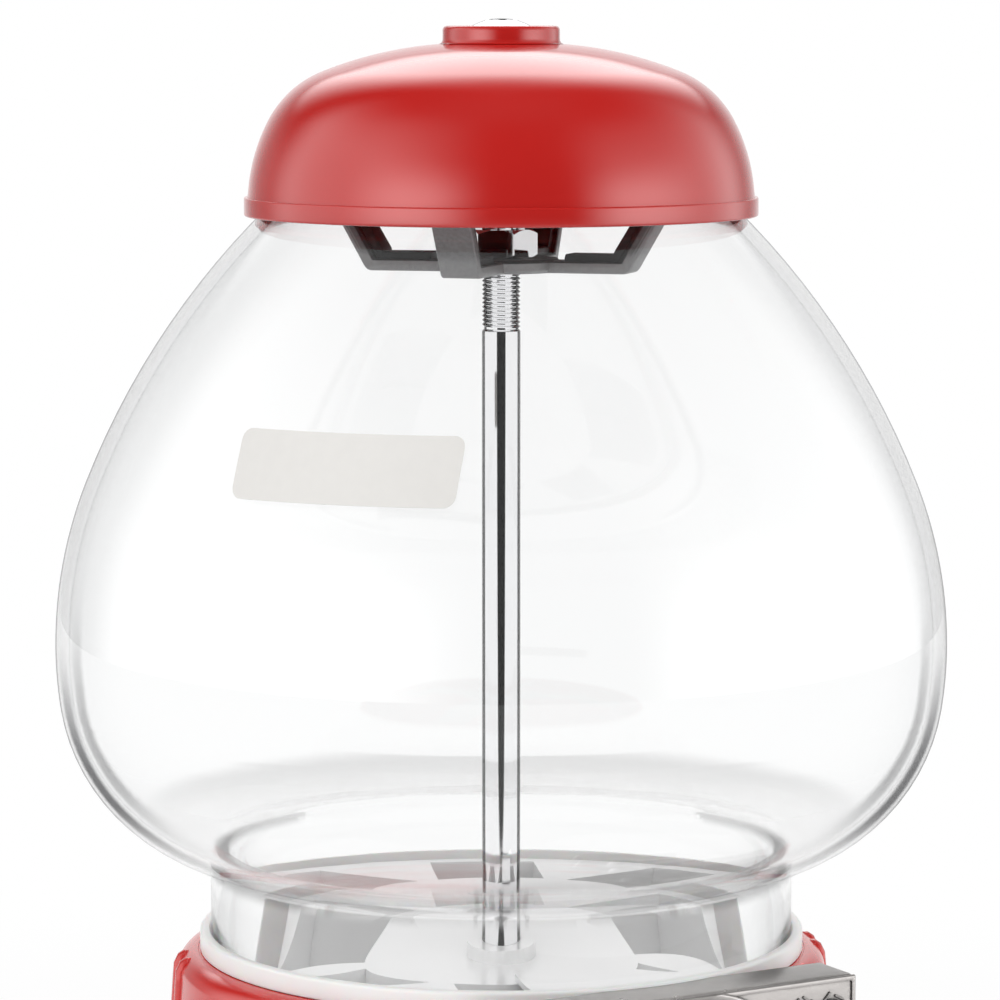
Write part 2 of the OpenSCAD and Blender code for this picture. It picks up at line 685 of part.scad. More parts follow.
module lock_nut() color([0.72, 0.60, 0.32]) translate([0, 0, flange_z - lock_nut_h])
  hex_nut(lock_nut_af, lock_nut_h, sleeve_r + fit);

keyway_r = 3.6;
module lock_barrel() color([0.84, 0.85, 0.86]) difference() {
  union() {
    translate([0, 0, boss_z - sleeve_h]) cylinder(r = barrel_r, h = sleeve_h - 0.4);
    // a low dome: a slice of a big sphere, turned
    rotate_extrude() polygon(concat([[0, boss_z - 0.5], [barrel_r, boss_z - 0.5]],
      [for (i = [0 : steps]) let (r = barrel_r * (1 - i / steps))
        [r, boss_z - 0.4 + (dome_h + 0.4) * (1 - pow(r / barrel_r, 2))]]));
  }
  translate([0, 0, boss_z - 3]) tube(keyway_r + 0.6, keyway_r - 0.6, dome_h + 5);
  translate([0, 0, boss_z - sleeve_h - cut])
    cylinder(r = rod_r + fit, h = rod_top + gap - (boss_z - sleeve_h) + cut);
}

// --- Front casting ------------------------------------------------------------------

screw_head_r = 3.8;
screw_head_h = 2.4;
casting_screw_l = 14;
module front_casting() color([0.66, 0.65, 0.63]) {
  half = casting_w / 2;
  inner = half - casting_t;
  difference() {
    union() {
      block([-half, casting_y, casting_z], [half, -side_r / 2, casting_top]);
      difference() {
        block([-half, casting_y - border_out, casting_z], [half, casting_in, casting_top]);
        block([-half + border_w, casting_y - cut, casting_z + border_w],
          [half - border_w, casting_in + cut, casting_top - border_w]);
        bar_y(face_r + gap, casting_y - border_out - cut, casting_y, 0, shaft_z);
      }
      for (s = [-1, 1]) translate([s * (door_w / 2 + ear_w / 2), 0, 0])
        block([-ear_w / 2, pin_y - 2.2, pin_z - 3.4], [ear_w / 2, casting_in, pin_z + 3.4]);
    }
    difference() {
      block([-inner, casting_in, casting_z + casting_t], [inner, 0, casting_top - casting_t]);
      for (s = [-1, 1]) translate([s * (door_w / 2 + ear_w / 2), 0, 0])
        block([-ear_w / 2, casting_y, pin_z - 3.4], [ear_w / 2, pin_y + 2.6, pin_z + 3.4]);
    }
    base_solid(gap);
    cylinder(r = collar_out + gap, h = casting_top + cut);
    block([-door_w / 2, casting_y - 2 * cut, door_z], [door_w / 2, pin_y + 3, door_top + knuckle_r + 1]);
    bar_y(carrier_r + gap, casting_y - cut, casting_in + cut, 0, shaft_z);
    for (s = [-1, 1], z = [boss_z_low, boss_z_high])
      bar_y(mount_r + hole_gap, casting_y - cut, casting_in + cut, s * boss_x, z);
    for (p = post_spots) bar_y(screw_r + hole_gap, casting_y - cut, casting_in + cut, p[0], p[1]);
    for (s = [-1, 1]) bar_y(screw_r + hole_gap, casting_in - 1.5, casting_in + cut,
      s * (chute_w / 2 + chute_t + flange_w / 2), door_z + door_h / 2);
    translate([0, pin_y, pin_z]) rotate([0, 90, 0])
      cylinder(r = pin_r + 0.03, h = door_w + 2 * ear_w + gap, center = true);
  }
}

module casting_screws() color([0.78, 0.79, 0.80])
  for (s = [-1, 1], z = [boss_z_low, boss_z_high])
    screw_y(s * boss_x, casting_y, z, screw_head_r, screw_head_h, mount_r, casting_screw_l);

// --- Coin mechanism -----------------------------------------------------------------

module coin_face() color([0.74, 0.74, 0.75]) difference() {
  union() {
    bar_y(face_r, face_y, casting_y, 0, shaft_z);
    difference() {
      bar_y(face_r, face_y - 1, face_y, 0, shaft_z);
      bar_y(face_r - 2, face_y - 2, casting_y, 0, shaft_z);
    }
  }
  bar_y(shaft_r + fit, face_y - 2, casting_y + cut, 0, shaft_z);
  bar_y(coin_r + 0.6, face_y - 2, casting_y + cut, 0, shaft_z + recess_at);
  for (p = post_spots) bar_y(screw_r + hole_gap, face_y - cut, casting_y + cut, p[0], p[1]);
}

face_head_r = 2.8;
face_head_h = 1.6;
face_screw_grip = 8;                       // in a post
module face_screws() color([0.78, 0.79, 0.80])
  for (p = post_spots) screw_y(p[0], face_y, p[1], face_head_r, face_head_h, screw_r,
    face_t + casting_t + face_screw_grip);

module mech_posts() color([0.72, 0.73, 0.75])
  for (p = post_spots) difference() {
    bar_y(post_r, casting_in, back_y, p[0], p[1]);
    bar_y(screw_r + hole_gap / 2, casting_in - cut, casting_in + face_screw_grip + 1, p[0], p[1]);
  }

module mech_back() color([0.70, 0.71, 0.72]) difference() {
  block([-back_half, back_y, back_bottom], [back_half, back_y + back_t, back_top]);
  bar_y(shaft_r + fit, back_y - cut, back_y + back_t + cut, 0, shaft_z);
  bar_y(pawl_pin_r + 0.02, back_y - cut, back_y + back_t + cut, pawl_at[0], pawl_at[1]);
}

module pawl_pin() color([0.80, 0.81, 0.83])
  bar_y(pawl_pin_r, pawl_y - 0.2, back_y + back_t, pawl_at[0], pawl_at[1]);

// The pawl's outline has its origin where it meets the ratchet, with x along the rim
// towards the pivot and y outwards. At rest it rides on the tooth tips.
pawl_boss_r = 3.4;
pawl_half = 2.9;
module pawl() color([0.60, 0.61, 0.63]) slab_y(pawl_y, pawl_y + pawl_t, 0, shaft_z)
  rotate(pawl_angle - 90) translate([pawl_reach, pawl_touch + pawl_lift]) rotate(-pawl_ride)
    difference() {
      union() {
        translate([-pawl_reach, -pawl_lift]) polygon([[-1.6, 3.6], [-1, -0.75], [1, -1.5],
          [1.2, 1.2], [pawl_reach, pawl_lift - pawl_half], [pawl_reach, pawl_lift + pawl_half]]);
        circle(r = pawl_boss_r);
      }
      circle(r = pawl_pin_r + fit);
    }

spring_r = 2.6;
spring_leg = 8;
wire_r = 0.4;
module pawl_spring() color([0.75, 0.76, 0.78]) translate([pawl_at[0], pawl_y + pawl_t + gap, pawl_at[1]])
  rotate([-90, 0, 0]) {
    for (i = [0 : 3]) translate([0, 0, wire_r + i * 1.6 * wire_r]) rotate_extrude()
      translate([spring_r, 0]) circle(r = wire_r, $fn = 24);
    translate([0, -spring_r, wire_r]) rotate([0, 90, 0])
      cylinder(r = wire_r * 0.9, h = spring_leg, center = true);
  }

module handle() color([0.80, 0.80, 0.82]) difference() {
  wing_y = handle_y + handle_d - hub_len;
  root_r = 10;
  wing_r = 8;
  tip_r = 4.5;
  union() {
    bar_y(root_r, wing_y, handle_y + handle_d, 0, shaft_z);
    for (s = [-1, 1]) hull() {
      bar_y(wing_r, handle_y, wing_y + 1, 0, shaft_z, $fn = 32);
      bar_y(tip_r, handle_y + 1, wing_y + 1, s * (handle_reach - tip_r), shaft_z, $fn = 32);
    }
  }
  bar_y(shaft_r + 0.02, handle_y + 5, casting_y, 0, shaft_z);
}

module handle_shaft() color([0.80, 0.81, 0.83])
  bar_y(shaft_r, handle_y + 5.3, shaft_end, 0, shaft_z);

module coin_carrier() color([0.72, 0.60, 0.32]) difference() {
  bar_y(carrier_r, carrier_y, carrier_back, 0, shaft_z);
  bar_y(shaft_r + 0.02, carrier_y - cut, carrier_back + cut, 0, shaft_z);
  bar_y(recess_r, carrier_y - cut, carrier_y + 2.2, 0, shaft_z + recess_at);
}

module ratchet_wheel() color([0.62, 0.63, 0.65])
  slab_y(ratchet_y, ratchet_y + ratchet_t, 0, shaft_z) difference() {
    polygon([for (i = [0 : ratchet_teeth - 1]) let (a = pawl_angle - pawl_bite + 360 / ratchet_teeth * i)
      each [ratchet_root * dir(a), ratchet_r * dir(a + 360 / ratchet_teeth)]]);
    circle(r = shaft_r + 0.02);
  }

module shaft_spacer() color([0.80, 0.81, 0.83]) difference() {
  bar_y(shaft_r + 2, spacer_y, pinion_y, 0, shaft_z);
  bar_y(shaft_r + 0.02, spacer_y - cut, pinion_y + cut, 0, shaft_z);
}

// A tooth's half thickness as an angle, at a radius, for a thickness t there.
function half_angle(t, r) = t / 2 / r * 180 / PI;
module drive_pinion() color([0.74, 0.63, 0.36]) difference() {
  root = pinion_r - dedendum;
  tip = pinion_r + addendum;
  union() {
    slab_y(pinion_y, pinion_back, 0, shaft_z) polygon([for (i = [0 : pinion_teeth - 1])
      let (a = 90 + 360 / pinion_teeth * i, low = half_angle(tooth_w + 1, root),
        mid = half_angle(tooth_w, pinion_r), high = half_angle(tooth_w - 1.3, tip))
      each [root * dir(a - low), pinion_r * dir(a - mid), tip * dir(a - high),
        tip * dir(a + high), pinion_r * dir(a + mid), root * dir(a + low)]]);
    bar_y(shaft_r + 2.5, pinion_back - cut, back_y - gap, 0, shaft_z);
  }
  bar_y(shaft_r + 0.02, pinion_y - cut, back_y, 0, shaft_z);
}

module shaft_clip() color([0.35, 0.35, 0.36]) difference() {
  bar_y(shaft_r + 1.8, back_y + back_t + 0.2, back_y + back_t + 0.2 + clip_t, 0, shaft_z);
  bar_y(shaft_r + 0.01, back_y, back_y + back_t + 2, 0, shaft_z);
}

// --- Chute and door -----------------------------------------------------------------

// The chute's side outline, with walls moved in by t: x is y, and y is z.
function chute_side(t) = [
  [chute_front + t, pan_z - gap + (t > 0 ? cut : 0)],
  [chute_front + t, mouth_high + roof_rise - t],
  [casting_in - (t > 0 ? cut : 0), mouth_high - t],
  [casting_in - (t > 0 ? cut : 0), mouth_low + t - (t > 0 ? 0.8 : 0)],
  [chute_back - t, mouth_low + slide_rise + t * 1.2],
  [chute_back - t, pan_z - gap + (t > 0 ? cut : 0)]];
module chute_prism(w, t) translate([w / 2, 0, 0]) rotate([90, 0, -90]) linear_extrude(w)
  polygon([for (p = chute_side(t)) [-p[0], p[1]]]);

module chute() color([0.72, 0.73, 0.74]) {
  half = chute_w / 2 + chute_t;
  screw_z = door_z + door_h / 2;
  difference() {
    chute_prism(2 * half, 0);
    chute_prism(chute_w, chute_t);
  }
  for (s = [-1, 1]) difference() {
    translate([s * (half + flange_w / 2 - 0.1), 0, 0])
      block([-flange_w / 2, casting_in, screw_z - 8], [flange_w / 2, casting_in + chute_t, screw_z + 8]);
    bar_y(screw_r + hole_gap, casting_in - cut, casting_in + chute_t + cut,
      s * (half + flange_w / 2), screw_z);
  }
}

module chute_screws() color([0.78, 0.79, 0.80])
  for (s = [-1, 1]) {
    x = s * (chute_w / 2 + chute_t + flange_w / 2);
    z = door_z + door_h / 2;
    bar_y(2.6, casting_in + chute_t, casting_in + chute_t + 1.5, x, z);
    bar_y(screw_r, casting_in - 1.3, casting_in + chute_t + 0.5, x, z);
  }

module chute_door() color([0.78, 0.78, 0.80]) difference() {
  union() {
    block([-door_w / 2 + 0.8, casting_y + 0.2, door_z + 0.6],
      [door_w / 2 - 0.8, casting_y + 0.2 + door_t, pin_z]);
    for (s = [-1, 1]) translate([s * door_w / 4, pin_y, pin_z]) rotate([0, 90, 0])
      cylinder(r = knuckle_r, h = door_w / 4, center = true);
    // a lip to lift it by
    block([-door_w / 4, casting_y - 3, door_z + 0.6], [door_w / 4, casting_y + 0.5, door_z + 2.4]);
  }
  translate([0, pin_y, pin_z]) rotate([0, 90, 0]) cylinder(r = pin_r + fit, h = door_w, center = true);
  block([-door_w / 8, casting_y - cut, pin_z - knuckle_r - 0.4], [door_w / 8, casting_y + 5, pin_z + cut]);
  for (s = [-1, 1]) translate([s * door_w * 0.47, 0, 0])
    block([-door_w / 11, casting_y - cut, pin_z - knuckle_r - 0.4],
      [door_w / 11, casting_y + 5, pin_z + cut]);
}

module door_pin() color([0.80, 0.81, 0.83]) translate([0, pin_y, pin_z]) rotate([0, 90, 0])
  cylinder(r = pin_r, h = door_w + 2 * ear_w, center = true);

base_body();
rubber_feet();
bottom_plate();
base_washer();
base_nut();
hopper_pan();
pan_screws();
pan_nut();
thrust_washer();
globe_collar();
outlet_guard();
globe();
label();
clamp_spider();
clamp_nut();
centre_rod();
front_casting();
casting_screws();
coin_face();
face_screws();
mech_back();
mech_posts();
pawl_pin();
chute();
chute_screws();
door_pin();
lid();
lock_sleeve();
lock_nut();
lock_barrel();
dispensing_wheel();
wheel_bush();
handle();
handle_shaft();
coin_carrier();
ratchet_wheel();
shaft_spacer();
drive_pinion();
shaft_clip();
pawl();
pawl_spring();
chute_door();
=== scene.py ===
import math

import bmesh
import bpy
from bpy.props import FloatProperty, FloatVectorProperty, IntProperty, PointerProperty
from mathutils import Matrix, Vector


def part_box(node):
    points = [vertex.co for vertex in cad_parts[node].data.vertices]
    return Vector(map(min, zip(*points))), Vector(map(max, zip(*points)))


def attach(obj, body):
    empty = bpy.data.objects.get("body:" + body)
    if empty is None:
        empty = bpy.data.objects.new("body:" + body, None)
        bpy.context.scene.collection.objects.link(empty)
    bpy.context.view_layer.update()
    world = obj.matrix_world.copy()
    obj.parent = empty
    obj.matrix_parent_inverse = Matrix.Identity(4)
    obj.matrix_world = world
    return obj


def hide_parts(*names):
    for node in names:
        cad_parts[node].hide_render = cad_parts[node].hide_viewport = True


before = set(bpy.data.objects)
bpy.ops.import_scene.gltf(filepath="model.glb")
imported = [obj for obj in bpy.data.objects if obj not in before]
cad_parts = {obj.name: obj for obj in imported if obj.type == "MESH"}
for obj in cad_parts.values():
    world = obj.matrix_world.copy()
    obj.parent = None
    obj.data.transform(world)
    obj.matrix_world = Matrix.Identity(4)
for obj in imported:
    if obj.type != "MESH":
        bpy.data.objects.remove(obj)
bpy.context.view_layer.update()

bl_info = {
    "name": "Gumball machine",
    "version": (1, 0, 0),
    "blender": (4, 5, 0),
    "location": "View3D > Sidebar > Gumball",
    "description": "Dresses a gumball machine: glass globe, enamelled lid and base, cast front",
    "category": "Object",
}

MM = 0.001  # lengths are in millimetres until they become points, settings or sockets


def box(node):
    """The lowest and the highest corner of a node's box, in millimetres."""
    return [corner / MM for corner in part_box(node)]


def low(node):
    return box(node)[0]


def high(node):
    return box(node)[1]


# --- Expressions on sockets ----------------------------------------------------------


class Value:
    """A node's output. Used in an expression, it adds Math nodes to its tree."""

    def __init__(self, tree, socket):
        self.tree = tree
        self.socket = socket

    def math(self, operation, first, second=None):
        inputs = {0: first} if second is None else {0: first, 1: second}
        return self.tree.add("ShaderNodeMath", {"operation": operation}, inputs)

    def __add__(self, other):
        return self.math("ADD", self, other)

    def __radd__(self, other):
        return self.math("ADD", other, self)

    def __sub__(self, other):
        return self.math("SUBTRACT", self, other)

    def __rsub__(self, other):
        return self.math("SUBTRACT", other, self)

    def __mul__(self, other):
        return self.math("MULTIPLY", self, other)

    def __rmul__(self, other):
        return self.math("MULTIPLY", other, self)

    def __pow__(self, other):
        return self.math("POWER", self, other)

    def __abs__(self):
        return self.math("ABSOLUTE", self)

    def rises(self, start, end):
        """0 below start and 1 above end, smooth between them."""
        settings = {"interpolation_type": "SMOOTHSTEP"}
        return self.tree.add("ShaderNodeMapRange", settings, {0: self, 1: start, 2: end})


class Tree:
    """A node tree that is written as Python."""

    def __init__(self, tree):
        self.tree = tree

    def add(self, kind, settings=None, inputs=None, output=0):
        """Adds a node: its settings come first, then its inputs, by name or number."""
        node = self.tree.nodes.new(kind)
        for name, value in (settings or {}).items():
            setattr(node, name, value)
        for key, value in (inputs or {}).items():
            self.join(value, node.inputs[key])
        return Value(self, node.outputs[output])

    def join(self, value, socket):
        if isinstance(value, Value):
            self.tree.links.new(value.socket, socket)
        else:
            socket.default_value = value

    def parts(self, vector):
        """A vector's x, y and z."""
        return self.outputs(self.add("ShaderNodeSeparateXYZ", None, {0: vector}), range(3))

    def outputs(self, value, names):
        """Several outputs of the node that a value comes from."""
        return [Value(self, value.socket.node.outputs[name]) for name in names]

    def rays(self):
        """Whether a ray is the camera's, a mirrored one, or one that went through glass."""
        names = ["Is Camera Ray", "Is Glossy Ray", "Is Transmission Ray"]
        return self.outputs(self.add("ShaderNodeLightPath"), names)

    def vector(self, x, y, z):
        return self.add("ShaderNodeCombineXYZ", None, {0: x, 1: y, 2: z})


class Finish(Tree):
    """A surface finish: a material with one Principled shader."""

    def __init__(self, name, colour, roughness, metal=0.0, **steady):
        self.material = bpy.data.materials.new(name)
        self.material.use_nodes = True
        super().__init__(self.material.node_tree)
        self.shader = self.tree.nodes["Principled BSDF"]
        self.colour = (*colour, 1.0)
        self.shader.inputs["Base Color"].default_value = self.colour
        self.shader.inputs["Roughness"].default_value = roughness
        self.shader.inputs["Metallic"].default_value = metal
        for socket, value in steady.items():
            self.shader.inputs[socket.replace("_", " ")].default_value = value
        self.place = self.add("ShaderNodeTexCoord", output="Object")

    def drive(self, socket, value):
        self.join(value, self.shader.inputs[socket])

    def stretched(self, scale):
        """The place on the object, scaled along each axis."""
        return self.add("ShaderNodeMapping", None, {0: self.place, 3: scale})

    def noise(self, size, detail=2.0, place=None):
        """Cloudy noise from 0 to 1, whose clouds are about size across."""
        inputs = {"Vector": place or self.place, "Scale": 1 / (size * MM), "Detail": detail}
        return self.add("ShaderNodeTexNoise", None, inputs, "Fac")

    def lines(self, along, scale):
        """Noise that changes along one value only, as streaks and rings do."""
        inputs = {"Vector": self.vector(along, 0.0, 0.0), "Scale": scale}
        return self.add("ShaderNodeTexNoise", None, inputs, "Fac")

    def blend(self, share, first, second):
        """One shader fading into another."""
        return self.add("ShaderNodeMixShader", None, {0: share, 1: first, 2: second})

    def surface(self, shader):
        """Puts a shader on the surface in place of the Principled one."""
        self.join(shader, self.tree.nodes["Material Output"].inputs["Surface"])
        return self.material

    def mix(self, share, first, second):
        """A colour between two others."""
        return self.add("ShaderNodeMix", {"data_type": "RGBA"}, {0: share, 6: first, 7: second}, 2)

    def shade(self, share, amount):
        """The finish's colour, made darker by up to amount where share is 1."""
        dark = tuple(c * (1 - amount) for c in self.colour[:3]) + (1.0,)
        return self.mix(share, self.colour, dark)

    def top(self, first, second):
        """The larger of two values."""
        return first.math("MAXIMUM", first, second)

    def relief(self, height, depth, strength=1.0):
        """Raises the surface by a height from 0 to 1, depth deep."""
        inputs = {"Strength": strength, "Distance": depth * MM, "Height": height}
        self.drive("Normal", self.add("ShaderNodeBump", None, inputs, "Normal"))


# --- Finishes ------------------------------------------------------------------------


def clear_glass():
    """Clear glass, painted grey where it is seen edge on, with painted dark reflections along its
    edges and in strokes below its belly. Shadows pass straight through it.
    """
    f = Finish("clear glass", (1.0, 1.0, 1.0), 0.0, Transmission_Weight=1.0, IOR=1.45)
    slant = f.add("ShaderNodeLayerWeight", None, {"Blend": 0.5}, "Facing")
    body = f.mix(f.noise(90), (0.985, 0.99, 0.99, 1), (1, 1, 1, 1))
    # Painted grey reflection: the colour greys where the glass is seen edge on.
    f.drive("Base Color", f.mix(slant.rises(0.45, 0.9), body, (0.89, 0.895, 0.90, 1)))
    f.relief(f.noise(70, 1), 0.25, 0.35)
    z = f.parts(f.place)[2]
    foot = low("globe").z
    belly = foot + 76

    def above(start, end):
        return z.rises(start * MM, end * MM)

    over_heel = above(foot + 26, foot + 44)
    under_belly = over_heel * (1 - above(belly - 26, belly + 8))
    # Painted dark reflection: the rim along the edges seen edge on, and the strokes below the
    # belly, mix in a dark diffuse shader.
    rim = slant.rises(0.90, 0.98) * (0.10 + over_heel * 0.55)
    painted_dark_stroke = slant.rises(0.74, 0.80) * (1 - slant.rises(0.84, 0.90)) * under_belly * 0.8
    fold = above(foot + 18, foot + 23) * (1 - above(foot + 29, foot + 35)) * 0.65
    shadow = f.add("ShaderNodeLightPath", output="Is Shadow Ray")
    passing = f.add("ShaderNodeBsdfTransparent", None, {0: (0.97, 0.97, 0.97, 1)})
    # The dark diffuse sheet that paints those reflections on the glass.
    dark = f.add("ShaderNodeBsdfDiffuse", None, {"Color": (0.06, 0.06, 0.065, 1)})
    glass = f.blend(fold, Value(f, f.shader.outputs[0]), passing)
    return f.surface(f.blend(shadow, f.blend(rim + painted_dark_stroke, glass, dark), passing))


def chrome():
    """Mirror plate with the faintest polishing haze."""
    f = Finish("polished chrome", (0.80, 0.80, 0.81), 0.04, 1.0)
    haze = f.noise(6, 5, f.stretched((1, 1, 6)))
    f.drive("Roughness", 0.03 + haze * 0.05)
    f.drive("Base Color", f.shade(f.noise(20, 2), 0.06))
    return f.material


def rod_chrome():
    """Mirror plate on the rod, with a painted reflection of the dark room along its middle and
    edges.
    """
    f = Finish("rod chrome", (0.92, 0.92, 0.93), 0.04, 1.0)
    slant = f.add("ShaderNodeLayerWeight", None, {"Blend": 0.5}, "Facing")
    # Painted reflection: core and edge darken the base colour along the rod's middle and its edges,
    # as the dark room would.
    core = 1 - slant.rises(0.023, 0.034)
    edge = slant.rises(0.43, 0.50)
    f.drive("Base Color", f.shade(core + edge * 0.9, 0.99))
    f.drive("Roughness", 0.03 + f.noise(6, 5, f.stretched((1, 1, 6))) * 0.04)
    return f.material


def galvanised():
    """Galvanised sheet with its spangle."""
    f = Finish("galvanised sheet", (0.64, 0.65, 0.66), 0.4, 1.0)
    inputs = {"Vector": f.place, "Scale": 1 / (7 * MM)}
    grey = f.parts(f.add("ShaderNodeTexVoronoi", None, inputs, "Color"))[0]
    f.drive("Base Color", f.shade(grey, 0.35))
    f.drive("Roughness", 0.32 + grey * 0.18)
    f.relief(f.noise(1.5, 3), 0.02, 0.3)
    return f.material


def cast_aluminium():
    """Grey sand-cast aluminium, dull and grainy. Behind its outer skin it is streaked and black."""
    f = Finish("cast aluminium", colours().spider, 0.46, 0.6)
    grain = f.noise(0.9, 4)
    x, y, z = f.parts(f.place)
    cosine, sine = math.cos(math.radians(SPIDER_HEADING)), math.sin(math.radians(SPIDER_HEADING))
    out = f.top(abs(x * cosine + y * sine), abs(y * cosine - x * sine))
    up = z - low("clamp_spider").z * MM
    behind = up * 0.582 + 33.4 * MM - out
    # Darker, nearly black, behind the outer skin: on the web and on the rib.
    darker_behind_skin = behind.rises(2.6 * MM, 3.4 * MM) * up.rises(2.3 * MM, 2.7 * MM)
    streaks = up.rises(3.2 * MM, 6 * MM) * f.lines(behind, 700.0).rises(0.42, 0.56) * 0.45
    worn = grain * 0.25 + f.noise(9, 3) * 0.15
    f.drive("Base Color", f.shade(worn + darker_behind_skin * 0.85 + streaks, 0.97))
    f.drive("Roughness", 0.38 + grain * 0.22)
    f.relief(grain, 0.12, 0.6)
    return f.material


def antique_silver():
    """Antiqued nickel on a casting: bright on what stands out, brown-grey in the corners."""
    f = Finish("antique silver", colours().casting, 0.3, 0.8)
    open_air = f.add("ShaderNodeAmbientOcclusion", {"samples": 6}, {"Distance": 2.2 * MM}, "AO")
    corner = 1 - open_air.rises(0.35, 0.92)
    stain = f.noise(5, 4)
    f.drive("Base Color", f.shade(corner * 0.75 + stain * 0.25, 0.72))
    f.drive("Roughness", 0.24 + corner * 0.25 + stain * 0.10)
    f.relief(f.noise(0.8, 3), 0.05, 0.5)
    return f.material


def spun_metal():
    """Metal turned on a lathe: fine rings round the upright axis."""
    f = Finish("spun metal", (0.92, 0.92, 0.92), 0.3, 0.4)
    x, y, _ = f.parts(f.place)
    rings = f.lines((x * x + y * y) ** 0.5, 2600.0)
    f.drive("Roughness", 0.24 + rings * 0.14)
    f.drive("Base Color", f.shade(f.noise(18, 3), 0.08))
    f.relief(rings, 0.01, 0.35)
    return f.material


def rubber():
    """Black rubber with a bloom of dust."""
    f = Finish("black rubber", (0.028, 0.028, 0.03), 0.6)
    dust = f.noise(4, 5).rises(0.5, 0.8)
    f.drive("Base Color", f.mix(dust, f.colour, (0.09, 0.088, 0.084, 1)))
    f.drive("Roughness", 0.55 + dust * 0.25)
    f.relief(f.noise(0.5, 3), 0.04, 0.6)
    return f.material


# Finishes that vary as plain noise, with lengths in millimetres: the colour, or its setting's
# name; roughness; metallic; tone (size, detail, how much darker); gloss (least roughness, size,
# detail, how much rougher); bumps (size, detail, depth, strength); and what else is set.
ENAMEL = ((60, 3, 0.10), (0.19, 25, 4, 0.08))
COAT = {"Coat Weight": 0.45, "Coat Roughness": 0.05}
PLAIN = {
    "lid enamel": ("lid", 0.22, 0, *ENAMEL, (1.6, 2, 0.02, 0.25), COAT),
    # The base's enamel is lighter than the lid's through its colour: painted light.
    "base enamel": ("base", 0.22, 0, *ENAMEL, (1.6, 2, 0.02, 0.45), COAT),
    "milky plastic": ("collar", 0.34, 0, (20, 3, 0.04), (0.28, 2, 3, 0.14), (2.5, 2, 0.03, 0.3),
                      {"Subsurface Weight": 0.25, "Subsurface Scale": 3 * MM}),
    "label film": ("label", 0.42, 0, (3, 5, 0.05), (0.36, 1, 3, 0.16), (4, 2, 0.03, 0.3), {}),
    "bright zinc": ((0.62, 0.62, 0.63), 0.24, 1, (7, 3, 0.22), (0.18, 3, 4, 0.16),
                    (0.6, 2, 0.02, 0.3), {}),
    "turned brass": ((0.62, 0.44, 0.17), 0.28, 1, (6, 4, 0.35), (0.2, 6, 4, 0.2),
                     (0.5, 2, 0.02, 0.3), {}),
    "natural nylon": ((0.78, 0.75, 0.66), 0.45, 0, (8, 2, 0.08), (0.4, 2, 3, 0.15), None,
                      {"Subsurface Weight": 0.2, "Subsurface Scale": 2 * MM}),
    "spring steel": ((0.22, 0.22, 0.235), 0.3, 1, (3, 3, 0.4), (0.22, 2, 3, 0.2), None, {}),
}


def plain(name):
    """Makes one of the plain finishes."""
    hue, roughness, metal, tone, gloss, bumps, steady = PLAIN[name]
    if isinstance(hue, str):
        hue = getattr(colours(), hue)
    f = Finish(name, hue, roughness, metal, **steady)
    f.drive("Base Color", f.shade(f.noise(*tone[:2]), tone[2]))
    f.drive("Roughness", gloss[0] + f.noise(*gloss[1:3]) * gloss[3])
    if bumps:
        f.relief(f.noise(*bumps[:2]), *bumps[2:])
    return f.material


FINISHES = {}


def finish(make):
    """A finish's material, from its function or its name in PLAIN. It is made once."""
    if make not in FINISHES:
        FINISHES[make] = plain(make) if make in PLAIN else make()
    return FINISHES[make]


# --- Curves and meshes ---------------------------------------------------------------


def bend(start, radius, first, last, steps=14):
    """Points along an arc from an angle to another, whose outward normal has that angle."""
    points = []
    for i in range(1, steps + 1):
        angle = math.radians(first + (last - first) * i / steps)
        begin = math.radians(first)
        x = start[0] + radius * (math.cos(angle) - math.cos(begin))
        z = start[1] + radius * (math.sin(angle) - math.sin(begin))
        points.append((x, z))
    return points


def bends(start, angle, arcs):
    """A start point and a run of arcs, each (radius, end angle), smooth where they meet."""
    points = [start]
    for radius, end in arcs:
        points += bend(points[-1], radius, angle, end)
        angle = end
    return points


def rounded(points, radii, steps=4):
    """A closed outline whose corners are rounded, each by its own radius."""
    made = []
    count = len(points)
    for i, point in enumerate(points):
        here = Vector(point)
        before, after = Vector(points[i - 1]) - here, Vector(points[(i + 1) % count]) - here
        reach = min(radii[i], before.length * 0.49, after.length * 0.49)
        if reach <= 0:
            made.append(tuple(here))
            continue
        start, end = here + before.normalized() * reach, here + after.normalized() * reach
        for k in range(steps + 1):
            t = k / steps
            made.append(tuple(start * (1 - t) ** 2 + here * 2 * t * (1 - t) + end * t * t))
    return made


def thread_of(points, closed=True):
    """A mesh that is a row of points, given as (radius, height)."""
    mesh = bpy.data.meshes.new("row")
    rows = list(points) + ([points[0]] if closed else [])
    points = [(x * MM, 0, z * MM) for x, z in rows]
    mesh.from_pydata(points, [(i, i + 1) for i in range(len(rows) - 1)], [])
    return mesh


def grown(start, group, **inputs):
    """Runs a node group on a mesh and returns the plain mesh that it makes."""
    maker = bpy.data.objects.new("maker", start)
    bpy.context.scene.collection.objects.link(maker)
    modifier = maker.modifiers.new("maker", "NODES")
    modifier.node_group = group
    for item in group.interface.items_tree:
        if item.item_type == "SOCKET" and item.in_out == "INPUT" and item.name in inputs:
            modifier[item.identifier] = inputs[item.name]
    graph = bpy.context.evaluated_depsgraph_get()
    mesh = bpy.data.meshes.new_from_object(maker.evaluated_get(graph), depsgraph=graph)
    bpy.data.objects.remove(maker)
    return mesh


